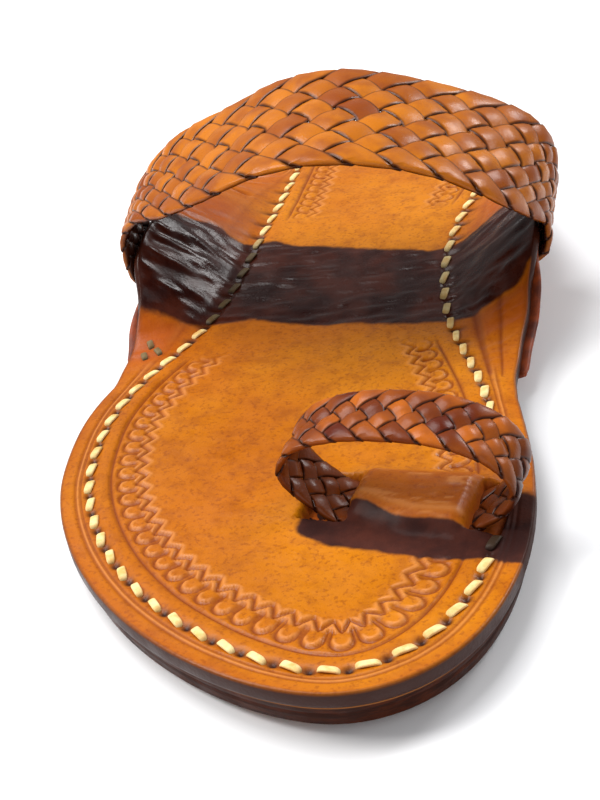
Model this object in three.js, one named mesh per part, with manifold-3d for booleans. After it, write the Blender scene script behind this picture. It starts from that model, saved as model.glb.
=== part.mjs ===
// Kolhapuri sandal for the right foot, one shoe, standing empty on its sole.
// Millimetres. The shoe stands on z = 0 with its toe towards -Y, its heel towards +Y,
// and the inner (medial) side of the foot towards +X.
//
// Most tables give a place by "along", the distance from the back of the heel towards the toe,
// and "across", the distance from the middle line of the shoe, positive on the medial side.

import * as THREE from 'three';
import Module from 'manifold-3d';

// ---- sole sizes
const SOLE_LENGTH = 259.5;
const LAYER_GAP = 0.3;
const OUTSOLE_THICKNESS = 4.6;
const FOOTBED_THICKNESS = 3.2;
const HEEL_LIFT_HEIGHT = 5.2;
const HEEL_LIFT_FRONT = 82;
const HEEL_LIFT_SLANT = 5;
const SHANK_END = 140;
const TOE_SPRING_START = 212;
const TOE_SPRING_HEIGHT = 2.6;
const FOOTBED_DISH = 0.7;
const DISH_FULL_HALF_WIDTH = 26;
const OUTSOLE_INSET = 0.7;
const OUTSOLE_UNDERCUT = 0.9;
const LIFT_INSET = 1.3;
const LIFT_UNDERCUT = 0.7;

// ---- outline: rounded ends on a spine that bends from the heel to the big toe
const HEEL_ROUND_LENGTH = 40;
const HEEL_ROUND_POWER = 2.1;
const TOE_ROUND_LENGTH = 70;
const TOE_ROUND_POWER = 1.82;
const OUTLINE = [
  { along: 0, spine: 5.4, halfWidth: 35.6 },
  { along: 5, spine: 8.6, halfWidth: 35.6 },
  { along: 12, spine: 10.9, halfWidth: 35.6 },
  { along: 25, spine: 12.4, halfWidth: 35.6 },
  { along: 40, spine: 12.5, halfWidth: 35.6 },
  { along: 60, spine: 10.9, halfWidth: 35.2 },
  { along: 75, spine: 8.4, halfWidth: 33.8 },
  { along: 90, spine: 5.7, halfWidth: 32.9 },
  { along: 105, spine: 3.4, halfWidth: 32.7 },
  { along: 120, spine: 1.6, halfWidth: 34.2 },
  { along: 135, spine: -0.3, halfWidth: 38.1 },
  { along: 150, spine: -1.5, halfWidth: 43.5 },
  { along: 165, spine: -1.4, halfWidth: 47.4 },
  { along: 180, spine: -0.4, halfWidth: 48.7 },
  { along: 200, spine: 2.2, halfWidth: 48.7 },
  { along: 230, spine: 8.6, halfWidth: 48.7 },
  { along: 259.5, spine: 17.4, halfWidth: 48.7 },
];

// ---- ears: the footbed runs past its crease and bends up into a wing on each side.
// "reach" is the length of leather outside the crease, "lift" its slope in degrees.
const CREASE_INSET = 6;
const CREASE_BEND = 5;
const EARS = [
  { along: 40, lateralReach: 6, lateralLift: 0, medialReach: 6, medialLift: 0 },
  { along: 50, lateralReach: 11.5, lateralLift: 13, medialReach: 6, medialLift: 0 },
  { along: 58, lateralReach: 17.5, lateralLift: 22, medialReach: 8, medialLift: 8 },
  { along: 67, lateralReach: 22, lateralLift: 30, medialReach: 12, medialLift: 16 },
  { along: 77, lateralReach: 24, lateralLift: 35, medialReach: 17, medialLift: 24 },
  { along: 86, lateralReach: 25, lateralLift: 39, medialReach: 21.5, medialLift: 29 },
  { along: 95, lateralReach: 25.3, lateralLift: 43, medialReach: 25, medialLift: 33 },
  { along: 105, lateralReach: 25, lateralLift: 46, medialReach: 27, medialLift: 35 },
  { along: 113, lateralReach: 24.5, lateralLift: 47, medialReach: 27, medialLift: 35 },
  { along: 119, lateralReach: 22.5, lateralLift: 45, medialReach: 26.5, medialLift: 34 },
  { along: 125, lateralReach: 18.5, lateralLift: 37, medialReach: 24, medialLift: 31 },
  { along: 131, lateralReach: 15, lateralLift: 22, medialReach: 20.5, medialLift: 24 },
  { along: 138, lateralReach: 11.5, lateralLift: 9, medialReach: 17.5, medialLift: 15 },
  { along: 146, lateralReach: 8.5, lateralLift: 2, medialReach: 13.5, medialLift: 8 },
  { along: 154, lateralReach: 6, lateralLift: 0, medialReach: 10.3, medialLift: 4 },
  { along: 162, lateralReach: 6, lateralLift: 0, medialReach: 7.3, medialLift: 2 },
  { along: 170, lateralReach: 6, lateralLift: 0, medialReach: 6, medialLift: 0 },
];
const EAR_SKIVED_THICKNESS = 2.2;
const EAR_SKIVE_LENGTH = 8;
const BACKING_THICKNESS = 1.2;
const BACKING_GAP = 0.4;
const BACKING_START = 7.5;
const BACKING_SETBACK = 1.5;
const BACKING_OVERHANG = 1.6;
const BACKINGS = {
  lateral: { from: 68, seatEnd: 120, to: 140 },
  medial: { from: 68, seatEnd: 120, to: 156 },
};

// ---- instep band: one woven wall. The rows give the outer face at its heel-side and toe-side
// edges, from the lateral ear over the instep to the medial ear. Its ends lie on the outer
// faces of the ears, "from" and "to" being lengths of leather outside the crease.
const BAND_THICKNESS = 2.8;
const BAND_GAP = 0.8;
const BAND_END = {
  lateral: { heelSide: 100, toeSide: 119, from: 12, to: 23 },
  medial: { heelSide: 99.5, toeSide: 119.5, from: 13, to: 25.5 },
};
const BAND_ARCH = [
  { heelAcross: -50.5, heelAlong: 99, heelHeight: 30.5, toeAcross: -49.3, toeAlong: 119, toeHeight: 29.5 },
  { heelAcross: -46.2, heelAlong: 97, heelHeight: 38.8, toeAcross: -44, toeAlong: 122.5, toeHeight: 36.2 },
  { heelAcross: -36, heelAlong: 96.5, heelHeight: 47.8, toeAcross: -33.6, toeAlong: 131, toeHeight: 40.8 },
  { heelAcross: -19, heelAlong: 98, heelHeight: 55, toeAcross: -20, toeAlong: 140.5, toeHeight: 48 },
  { heelAcross: -6, heelAlong: 99, heelHeight: 60, toeAcross: -7.4, toeAlong: 144.5, toeHeight: 53.6 },
  { heelAcross: 8.3, heelAlong: 100, heelHeight: 61.4, toeAcross: 6.5, toeAlong: 146, toeHeight: 55.8 },
  { heelAcross: 20, heelAlong: 100, heelHeight: 59.2, toeAcross: 20, toeAlong: 145, toeHeight: 53.8 },
  { heelAcross: 34.6, heelAlong: 99, heelHeight: 54, toeAcross: 33, toeAlong: 142.8, toeHeight: 49 },
  { heelAcross: 45.5, heelAlong: 98, heelHeight: 49, toeAcross: 42.5, toeAlong: 140.5, toeHeight: 42.8 },
  { heelAcross: 54, heelAlong: 98, heelHeight: 43.6, toeAcross: 48.8, toeAlong: 136, toeHeight: 36.4 },
  { heelAcross: 58.6, heelAlong: 98.5, heelHeight: 37.2, toeAcross: 53.2, toeAlong: 128, toeHeight: 29.8 },
  { heelAcross: 59.4, heelAlong: 99.5, heelHeight: 30, toeAcross: 56.4, toeAlong: 121.5, toeHeight: 24.6 },
];

// ---- toe ring: a woven strap standing over the big toe. Its ends dive through two slots
// and lie between the footbed and the outsole, under a raised bridge of footbed leather.
const RING_ACROSS = 25.8;
const RING_ALONG = 205;
const RING_TURN = THREE.MathUtils.degToRad(13);
const RING_WIDTH = 13;
const RING_THICKNESS = 2.6;
const RING_TOE_DROP = 3;
const RING_DROP_START = 11.2;
const RING_ARCH_HEIGHT = 21.95;
const RING_PATH = [
  { across: -6.0, height: 6.25 },
  { across: -9.5, height: 6.25 },
  { across: -13.2, height: 6.6 },
  { across: -16.8, height: 9.2 },
  { across: -20.4, height: 12.4 },
  { across: -22.6, height: 17.0 },
  { across: -19.8, height: 22.8 },
  { across: -11.5, height: 26.8 },
  { across: 0, height: 28.2 },
  { across: 11.0, height: 27.2 },
  { across: 19.4, height: 23.0 },
  { across: 22.7, height: 17.0 },
  { across: 21.0, height: 12.2 },
  { across: 17.4, height: 9.0 },
  { across: 13.8, height: 6.6 },
  { across: 9.5, height: 6.25 },
  { across: 6.0, height: 6.25 },
];
const RING_SLOT_OUTER = 20.4;
const BRIDGE_HALF_LENGTH = 11.4;
const BRIDGE_HALF_WIDTH = 7.4;
const BRIDGE_FLANK = 4.5;
const BRIDGE_RISE = 3.4;

// ---- resolution
const FLAT_COLUMNS = 12;
const SOLE_COLUMNS = 8;
const WING_COLUMNS = 6;
const BACKING_STEPS = 16;
const BAND_COLUMNS = 4;
const BAND_STEPS = 56;
const RING_STEPS = 52;

const SIDE_SIGN = { lateral: -1, medial: 1 };

// Smooth value of one column of a table whose rows are ordered by "along".
function tableValue(rows, column, along) {
  const last = rows.length - 1;
  const clamped = Math.min(Math.max(along, rows[0].along), rows[last].along);
  let index = 0;
  while (index < last - 1 && rows[index + 1].along < clamped) {
    index += 1;
  }
  const slopeAt = (i) => {
    const before = rows[Math.max(i - 1, 0)];
    const after = rows[Math.min(i + 1, last)];
    return (after[column] - before[column]) / (after.along - before.along);
  };
  const left = rows[index];
  const right = rows[index + 1];
  const span = right.along - left.along;
  const s = (clamped - left.along) / span;
  const s2 = s * s;
  const s3 = s2 * s;
  return (2 * s3 - 3 * s2 + 1) * left[column]
    + (s3 - 2 * s2 + s) * span * slopeAt(index)
    + (3 * s2 - 2 * s3) * right[column]
    + (s3 - s2) * span * slopeAt(index + 1);
}

function roundedEnd(distance, length, power) {
  if (distance >= length) {
    return 1;
  }
  return Math.pow(1 - Math.pow(1 - distance / length, power), 1 / power);
}

// Half width and spine of the footbed outline at a station along the shoe.
function outlineAt(along) {
  const heel = roundedEnd(along, HEEL_ROUND_LENGTH, HEEL_ROUND_POWER);
  const toe = roundedEnd(SOLE_LENGTH - along, TOE_ROUND_LENGTH, TOE_ROUND_POWER);
  return {
    spine: tableValue(OUTLINE, 'spine', along),
    halfWidth: tableValue(OUTLINE, 'halfWidth', along) * heel * toe,
  };
}

// Height of the underside of the outsole: on the heel lift, down the shank, flat, toe spring.
function soleUnderside(along) {
  const liftTop = HEEL_LIFT_HEIGHT + LAYER_GAP;
  const shankStart = HEEL_LIFT_FRONT - HEEL_LIFT_SLANT;
  const shank = THREE.MathUtils.clamp((along - shankStart) / (SHANK_END - shankStart), 0, 1);
  const spring = Math.max(along - TOE_SPRING_START, 0) / (SOLE_LENGTH - TOE_SPRING_START);
  return liftTop * (1 + Math.cos(Math.PI * shank)) / 2 + TOE_SPRING_HEIGHT * spring * spring;
}

function footbedFlat(along) {
  return soleUnderside(along) + OUTSOLE_THICKNESS + LAYER_GAP + FOOTBED_THICKNESS;
}

// The footbed is pressed in a little in the middle, where the foot stands.
function footbedTop(along, across) {
  const { spine, halfWidth } = outlineAt(along);
  const off = Math.min(Math.abs(across - spine) / Math.max(halfWidth - CREASE_INSET, 1), 1);
  const away = THREE.MathUtils.smoothstep(halfWidth, CREASE_INSET, DISH_FULL_HALF_WIDTH);
  return footbedFlat(along) - FOOTBED_DISH * away * Math.pow(1 - off * off, 2);
}

function toShoe(across, along, height) {
  return new THREE.Vector3(across, SOLE_LENGTH / 2 - along, height);
}

// Stations closer together where the ends round off.
function stations() {
  const list = [];
  for (let step = 0.65; step < 7; step += 1) {
    list.push(HEEL_ROUND_LENGTH * (1 - Math.cos(Math.PI / 2 * step / 7)));
  }
  for (let along = 44; along < 188; along += 6.2) {
    list.push(along);
  }
  for (let step = 9.65; step > 0; step -= 1) {
    list.push(SOLE_LENGTH - TOE_ROUND_LENGTH * (1 - Math.cos(Math.PI / 2 * step / 10)));
  }
  return list;
}

// A closed solid from matching lower and upper polylines, one pair for each section.
function slab(sections) {
  const columns = sections[0].lower.length;
  const positions = [];
  for (const { lower, upper } of sections) {
    for (const point of [...lower, ...upper]) {
      positions.push(point.x, point.y, point.z);
    }
  }
  const lowerIndex = (row, column) => row * columns * 2 + column;
  const upperIndex = (row, column) => row * columns * 2 + columns + column;
  const triangles = [];
  const quad = (a, b, c, d) => {
    triangles.push(a, b, c, a, c, d);
  };
  const last = sections.length - 1;
  for (let row = 0; row < last; row += 1) {
    for (let column = 0; column < columns - 1; column += 1) {
      quad(upperIndex(row, column), upperIndex(row + 1, column),
        upperIndex(row + 1, column + 1), upperIndex(row, column + 1));
      quad(lowerIndex(row, column), lowerIndex(row, column + 1),
        lowerIndex(row + 1, column + 1), lowerIndex(row + 1, column));
    }
    quad(lowerIndex(row, 0), lowerIndex(row + 1, 0), upperIndex(row + 1, 0), upperIndex(row, 0));
    const edge = columns - 1;
    quad(lowerIndex(row, edge), upperIndex(row, edge),
      upperIndex(row + 1, edge), lowerIndex(row + 1, edge));
  }
  for (let column = 0; column < columns - 1; column += 1) {
    quad(lowerIndex(0, column), upperIndex(0, column),
      upperIndex(0, column + 1), lowerIndex(0, column + 1));
    quad(lowerIndex(last, column), lowerIndex(last, column + 1),
      upperIndex(last, column + 1), upperIndex(last, column));
  }
  const geometry = new THREE.BufferGeometry();
  geometry.setAttribute('position', new THREE.Float32BufferAttribute(positions, 3));
  geometry.setIndex(triangles);
  return facingOut(geometry);
}

// Turns the triangles round if the solid is inside out.
function facingOut(geometry) {
  const position = geometry.getAttribute('position');
  const index = geometry.getIndex().array;
  const corners = [new THREE.Vector3(), new THREE.Vector3(), new THREE.Vector3()];
  let volume = 0;
  for (let i = 0; i < index.length; i += 3) {
    corners.forEach((corner, k) => corner.fromBufferAttribute(position, index[i + k]));
    volume += corners[0].dot(corners[1].clone().cross(corners[2]));
  }
  if (volume < 0) {
    const turned = [];
    for (let i = 0; i < index.length; i += 3) {
      turned.push(index[i], index[i + 2], index[i + 1]);
    }
    geometry.setIndex(turned);
  }
  return geometry;
}

function spread(count, from, to) {
  return Array.from({ length: count + 1 }, (unused, i) => from + (to - from) * i / count);
}

// A sole layer, drawn in by "inset" all round, with sides that lean in towards the ground.
function soleLayer({ list, inset, undercut, frontLean, undersideAt, topAt }) {
  const shrink = (SOLE_LENGTH - 2 * inset) / SOLE_LENGTH;
  const sections = list.map((station, row) => {
    const { spine, halfWidth } = outlineAt(station);
    const along = inset + station * shrink;
    const half = Math.max(halfWidth - inset, 0.8);
    const lowerHalf = half - Math.min(undercut, half * 0.3);
    const lean = row === list.length - 1 ? frontLean : 0;
    return {
      upper: spread(SOLE_COLUMNS, spine - half, spine + half)
        .map((across) => toShoe(across, along, topAt(along))),
      lower: spread(SOLE_COLUMNS, spine - lowerHalf, spine + lowerHalf)
        .map((across) => toShoe(across, along - lean, undersideAt(along - lean))),
    };
  });
  return slab(sections);
}

function buildOutsole() {
  return soleLayer({
    list: stations(),
    inset: OUTSOLE_INSET,
    undercut: OUTSOLE_UNDERCUT,
    frontLean: 0,
    undersideAt: soleUnderside,
    topAt: (along) => soleUnderside(along) + OUTSOLE_THICKNESS,
  });
}

function buildHeelLift() {
  const list = stations().filter((station) => station < HEEL_LIFT_FRONT - 8);
  return soleLayer({
    list: [...list, HEEL_LIFT_FRONT],
    inset: LIFT_INSET,
    undercut: LIFT_UNDERCUT,
    frontLean: HEEL_LIFT_SLANT,
    undersideAt: () => 0,
    topAt: (along) => Math.min(HEEL_LIFT_HEIGHT, soleUnderside(along) - LAYER_GAP),
  });
}

// Point of an ear: "out" is the length of leather outside the crease, "depth" is measured
// down through the leather from its upper face.
function earPoint(side, along, out, depth) {
  const sign = SIDE_SIGN[side];
  const { spine, halfWidth } = outlineAt(along);
  const margin = Math.min(CREASE_INSET, halfWidth * 0.5);
  const crease = halfWidth - margin;
  const lift = THREE.MathUtils.degToRad(Math.max(tableValue(EARS, `${side}Lift`, along), 0));
  const pieces = 12;
  const step = out / pieces;
  let run = crease;
  let rise = 0;
  let slope = 0;
  for (let i = 0; i < pieces; i += 1) {
    const bend = THREE.MathUtils.clamp((i + 0.5) * step / CREASE_BEND, 0, 1);
    slope = lift * THREE.MathUtils.smoothstep(bend, 0, 1);
    run += step * Math.cos(slope);
    rise += step * Math.sin(slope);
  }
  const across = spine + sign * (run + depth * Math.sin(slope));
  const height = footbedFlat(along) + rise - depth * Math.cos(slope);
  return toShoe(across, along, height);
}

function earReach(side, along) {
  const { halfWidth } = outlineAt(along);
  const margin = Math.min(CREASE_INSET, halfWidth * 0.5);
  const reach = tableValue(EARS, `${side}Reach`, along);
  return Math.max(reach - CREASE_INSET, 0) + margin;
}

// The wing is pared thinner than the rest of the footbed.
function earThickness(out) {
  const pared = THREE.MathUtils.smoothstep(out, CREASE_INSET, CREASE_INSET + EAR_SKIVE_LENGTH);
  return THREE.MathUtils.lerp(FOOTBED_THICKNESS, EAR_SKIVED_THICKNESS, pared);
}

function footbedSection(along) {
  const { spine, halfWidth } = outlineAt(along);
  const crease = halfWidth - Math.min(CREASE_INSET, halfWidth * 0.5);
  const wing = (side, parts, under) => parts.map((part) => {
    const out = earReach(side, along) * part;
    return earPoint(side, along, out, under ? earThickness(out) : 0);
  });
  const flat = (heightAt) => spread(FLAT_COLUMNS, spine - crease, spine + crease)
    .map((across) => toShoe(across, along, heightAt(across)));
  const layer = (under, heightAt) => [
    ...wing('lateral', spread(WING_COLUMNS, 1, 0).slice(0, -1), under),
    ...flat(heightAt),
    ...wing('medial', spread(WING_COLUMNS, 0, 1).slice(1), under),
  ];
  return {
    lower: layer(true, () => footbedFlat(along) - FOOTBED_THICKNESS),
    upper: layer(false, (across) => footbedTop(along, across)),
  };
}

function ringPoint(across, forward, height) {
  const cos = Math.cos(RING_TURN);
  const sin = Math.sin(RING_TURN);
  return toShoe(
    RING_ACROSS + across * cos - forward * sin,
    RING_ALONG + across * sin + forward * cos,
    height,
  );
}

// The strip of footbed leather that the ends of the toe ring lift between their slots.
function buildBridge() {
  const top = footbedTop(RING_ALONG, RING_ACROSS);
  const edge = BRIDGE_HALF_WIDTH + BRIDGE_FLANK;
  const profile = [
    { forward: -edge, lower: -2, upper: -0.6 },
    { forward: -BRIDGE_HALF_WIDTH - 0.4, lower: -2, upper: BRIDGE_RISE * 0.5 },
    { forward: -BRIDGE_HALF_WIDTH + 0.6, lower: BRIDGE_RISE - FOOTBED_THICKNESS, upper: BRIDGE_RISE * 0.85 },
    { forward: -BRIDGE_HALF_WIDTH * 0.45, lower: BRIDGE_RISE - FOOTBED_THICKNESS, upper: BRIDGE_RISE },
    { forward: BRIDGE_HALF_WIDTH * 0.45, lower: BRIDGE_RISE - FOOTBED_THICKNESS, upper: BRIDGE_RISE },
    { forward: BRIDGE_HALF_WIDTH - 0.6, lower: BRIDGE_RISE - FOOTBED_THICKNESS, upper: BRIDGE_RISE * 0.85 },
    { forward: BRIDGE_HALF_WIDTH + 0.4, lower: -2, upper: BRIDGE_RISE * 0.5 },
    { forward: edge, lower: -2, upper: -0.6 },
  ];
  const sections = spread(4, -BRIDGE_HALF_LENGTH, BRIDGE_HALF_LENGTH).map((across) => ({
    lower: profile.map((row) => ringPoint(across, row.forward, top + row.lower)),
    upper: profile.map((row) => ringPoint(across, row.forward, top + row.upper)),
  }));
  return slab(sections);
}

function buildSlotCutter() {
  const length = 2 * RING_SLOT_OUTER;
  const box = new THREE.BoxGeometry(length, 2 * BRIDGE_HALF_WIDTH, 4 * FOOTBED_THICKNESS);
  box.rotateZ(-RING_TURN);
  const centre = ringPoint(0, 0, footbedTop(RING_ALONG, RING_ACROSS) - FOOTBED_THICKNESS / 2);
  box.translate(centre.x, centre.y, centre.z);
  return box;
}

// A second layer of leather under each wing. It stands out past the wing's edge on the toe side.
function buildBacking(side) {
  const { from, seatEnd, to } = BACKINGS[side];
  const sections = spread(BACKING_STEPS, from, to).map((along) => {
    const past = THREE.MathUtils.smoothstep(along, seatEnd, seatEnd + 12);
    const reach = earReach(side, along)
      + THREE.MathUtils.lerp(-BACKING_SETBACK, BACKING_OVERHANG, past);
    const outs = spread(3, Math.min(BACKING_START, reach - 1.5), reach);
    const top = (out) => earThickness(out) + BACKING_GAP;
    return {
      upper: outs.map((out) => earPoint(side, along, out, top(out))),
      lower: outs.map((out) => earPoint(side, along, out, top(out) + BACKING_THICKNESS)),
    };
  });
  return slab(sections);
}

// Path of one lengthwise fibre of the band's outer face, "part" going from its heel-side edge
// to its toe-side edge.
function bandFibre(part) {
  const depth = EAR_SKIVED_THICKNESS + BACKING_GAP + BACKING_THICKNESS + BAND_GAP + BAND_THICKNESS;
  const seat = (side, outs) => outs.map((out) => {
    const end = BAND_END[side];
    return earPoint(side, THREE.MathUtils.lerp(end.heelSide, end.toeSide, part), out, depth);
  });
  const arch = BAND_ARCH.map((row) => {
    const heel = toShoe(row.heelAcross, row.heelAlong, row.heelHeight);
    const toe = toShoe(row.toeAcross, row.toeAlong, row.toeHeight);
    return heel.lerp(toe, part);
  });
  const points = [
    ...seat('lateral', spread(2, BAND_END.lateral.from, BAND_END.lateral.to)),
    ...arch,
    ...seat('medial', spread(2, BAND_END.medial.to, BAND_END.medial.from)),
  ];
  return new THREE.CatmullRomCurve3(points, false, 'centripetal');
}

function buildInstepBand() {
  const fibres = spread(BAND_COLUMNS, 0, 1).map(bandFibre);
  const sections = spread(BAND_STEPS, 0, 1).map((u) => {
    const outer = fibres.map((fibre) => fibre.getPoint(u));
    const width = outer[BAND_COLUMNS].clone().sub(outer[0]).normalize();
    const inner = fibres.map((fibre, k) => {
      const inward = new THREE.Vector3().crossVectors(fibre.getTangent(u), width).normalize();
      return outer[k].clone().addScaledVector(inward, BAND_THICKNESS);
    });
    return { lower: inner, upper: outer };
  });
  return slab(sections);
}

function buildToeRing() {
  const path = new THREE.CatmullRomCurve3(
    RING_PATH.map((row) => new THREE.Vector3(row.across, 0, row.height)),
    false,
    'centripetal',
  );
  const sections = spread(RING_STEPS, 0, 1).map((u) => {
    const middle = path.getPoint(u);
    const tangent = path.getTangent(u);
    const normal = new THREE.Vector3(-tangent.z, 0, tangent.x);
    const side = (offset) => spread(2, -RING_WIDTH / 2, RING_WIDTH / 2).map((forward) => {
      const x = middle.x + normal.x * offset;
      const z = middle.z + normal.z * offset;
      const above = THREE.MathUtils.clamp((z - RING_DROP_START) / RING_ARCH_HEIGHT, 0, 1);
      const drop = RING_TOE_DROP * above * (forward / RING_WIDTH + 0.5);
      return ringPoint(x, forward, z - drop);
    });
    return { lower: side(-RING_THICKNESS / 2), upper: side(RING_THICKNESS / 2) };
  });
  return slab(sections);
}

// ---- booleans
const wasm = await Module();
wasm.setup();

function toManifold(geometry) {
  const flat = geometry.index ? geometry.toNonIndexed() : geometry;
  const position = flat.getAttribute('position');
  const seen = new Map();
  const vertices = [];
  const triangles = [];
  for (let i = 0; i < position.count; i += 1) {
    const corner = [position.getX(i), position.getY(i), position.getZ(i)];
    const key = corner.map((value) => Math.round(value * 1e4)).join(' ');
    if (!seen.has(key)) {
      seen.set(key, vertices.length / 3);
      vertices.push(...corner);
    }
    triangles.push(seen.get(key));
  }
  return new wasm.Manifold(new wasm.Mesh({
    numProp: 3,
    vertProperties: new Float32Array(vertices),
    triVerts: new Uint32Array(triangles),
  }));
}

function fromManifold(solid) {
  const mesh = solid.getMesh();
  const geometry = new THREE.BufferGeometry();
  geometry.setAttribute('position', new THREE.BufferAttribute(Float32Array.from(mesh.vertProperties), 3));
  geometry.setIndex(Array.from(mesh.triVerts));
  return geometry;
}

function buildFootbed() {
  const sheet = toManifold(slab(stations().map(footbedSection)));
  const cut = sheet.subtract(toManifold(buildSlotCutter()));
  return fromManifold(cut.add(toManifold(buildBridge())));
}

const group = new THREE.Group();
group.name = 'kolhapuri_sandal';

function addPiece(name, geometry, colour, roughness) {
  const material = new THREE.MeshStandardMaterial({ color: colour, roughness, metalness: 0 });
  material.name = `${name}_material`;
  const mesh = new THREE.Mesh(geometry, material);
  mesh.name = name;
  group.add(mesh);
}

addPiece('heel_lift', buildHeelLift(), 0x3a1a0c, 0.5);
addPiece('outsole', buildOutsole(), 0x4a2210, 0.5);
addPiece('footbed', buildFootbed(), 0xb8660f, 0.35);
addPiece('ear_backing_lateral', buildBacking('lateral'), 0x7a3a12, 0.55);
addPiece('ear_backing_medial', buildBacking('medial'), 0x7a3a12, 0.55);
addPiece('instep_band', buildInstepBand(), 0xa85618, 0.4);
addPiece('toe_ring', buildToeRing(), 0x7c3210, 0.4);

// The origin is under the middle of the whole shoe, on the ground.
const bounds = new THREE.Box3().setFromObject(group);
const centre = bounds.getCenter(new THREE.Vector3());
for (const mesh of group.children) {
  mesh.geometry.translate(-centre.x, -centre.y, -bounds.min.z);
}

export default group;
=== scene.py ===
"""A kolhapuri sandal for the right foot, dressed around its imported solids.

Lengths inside the classes are millimetres in the maker's own measures: "across" from the middle
line of the sole, positive towards the big toe, "along" from the back of the heel to the toe, and
"height" above the floor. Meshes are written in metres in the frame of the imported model.
"""

import logging
import math
from collections.abc import Callable
from dataclasses import dataclass, field
from enum import Enum

import bmesh
import bpy
import numpy as np
from mathutils import Matrix, Vector


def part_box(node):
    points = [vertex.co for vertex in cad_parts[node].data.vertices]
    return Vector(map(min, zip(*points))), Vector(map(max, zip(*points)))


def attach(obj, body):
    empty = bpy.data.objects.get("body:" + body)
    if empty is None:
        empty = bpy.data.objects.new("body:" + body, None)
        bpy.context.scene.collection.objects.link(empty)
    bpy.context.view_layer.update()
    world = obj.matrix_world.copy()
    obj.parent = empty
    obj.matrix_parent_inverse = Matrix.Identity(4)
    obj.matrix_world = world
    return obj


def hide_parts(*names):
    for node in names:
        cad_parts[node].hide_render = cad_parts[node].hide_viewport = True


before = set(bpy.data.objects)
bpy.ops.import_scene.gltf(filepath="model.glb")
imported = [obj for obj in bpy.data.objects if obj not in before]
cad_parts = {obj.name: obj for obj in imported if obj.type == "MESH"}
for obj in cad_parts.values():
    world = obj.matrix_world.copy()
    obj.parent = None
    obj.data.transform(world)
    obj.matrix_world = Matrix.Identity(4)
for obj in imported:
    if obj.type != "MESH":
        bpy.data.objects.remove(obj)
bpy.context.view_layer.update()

LOG = logging.getLogger("sandal")
MM = 0.001
SOLE_LENGTH = 259.5


class Side(Enum):
    """The two sides of the foot, with the sign of "across"."""

    LATERAL = -1
    MEDIAL = 1


# ---------------------------------------------------------------------------------------------
# Small mathematics
# ---------------------------------------------------------------------------------------------


def smooth(low: float, high: float, value: np.ndarray) -> np.ndarray:
    """Smooth step from 0 at low to 1 at high.

    Args:
        low: Where the step starts.
        high: Where the step ends; it may be below low.
        value: Where to read it.

    Returns:
        The step's value, 0 to 1.
    """
    part = np.clip((value - low) / (high - low), 0.0, 1.0)
    return part * part * (3.0 - 2.0 * part)


def table_value(rows: tuple, column: int, along: np.ndarray) -> np.ndarray:
    """Smooth value of one column of a table ordered by its first column.

    Args:
        rows: Rows of numbers, the first of each being "along".
        column: Which column to read.
        along: Where to read it.

    Returns:
        The interpolated values.
    """
    table = np.array(rows, dtype=float)
    xs, ys = table[:, 0], table[:, column]
    last = len(xs) - 1
    before = np.maximum(np.arange(last + 1) - 1, 0)
    after = np.minimum(np.arange(last + 1) + 1, last)
    slopes = (ys[after] - ys[before]) / (xs[after] - xs[before])
    place = np.clip(np.asarray(along, dtype=float), xs[0], xs[-1])
    left = np.clip(np.searchsorted(xs, place, side="right") - 1, 0, last - 1)
    span = xs[left + 1] - xs[left]
    s = (place - xs[left]) / span
    s2, s3 = s * s, s * s * s
    return (
        (2 * s3 - 3 * s2 + 1) * ys[left]
        + (s3 - 2 * s2 + s) * span * slopes[left]
        + (3 * s2 - 2 * s3) * ys[left + 1]
        + (s3 - s2) * span * slopes[left + 1]
    )


def value_noise(points: np.ndarray, scale: float, seed: int) -> np.ndarray:
    """Cheap smooth noise on a plane.

    Args:
        points: An array of pairs.
        scale: Size of one cell of the noise.
        seed: Which noise.

    Returns:
        Values between -1 and 1.
    """
    draw = np.random.default_rng(seed).uniform(-1.0, 1.0, (128, 128))
    grid = points / scale + 1000.0
    cell = np.floor(grid).astype(int)
    part = grid - cell
    part = part * part * (3.0 - 2.0 * part)
    a, b = cell[..., 0] % 128, cell[..., 1] % 128
    c, d = (a + 1) % 128, (b + 1) % 128
    u, v = part[..., 0], part[..., 1]
    low = draw[a, b] * (1 - u) + draw[c, b] * u
    high = draw[a, d] * (1 - u) + draw[c, d] * u
    return low * (1 - v) + high * v


def groove(distance: np.ndarray, width: float) -> np.ndarray:
    """Profile of a soft trough, 1 on its line and near 0 past twice its width."""
    return np.exp(-((distance / width) ** 2))


# ---------------------------------------------------------------------------------------------
# The last: the measures that all the pieces are cut from
# ---------------------------------------------------------------------------------------------


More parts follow.
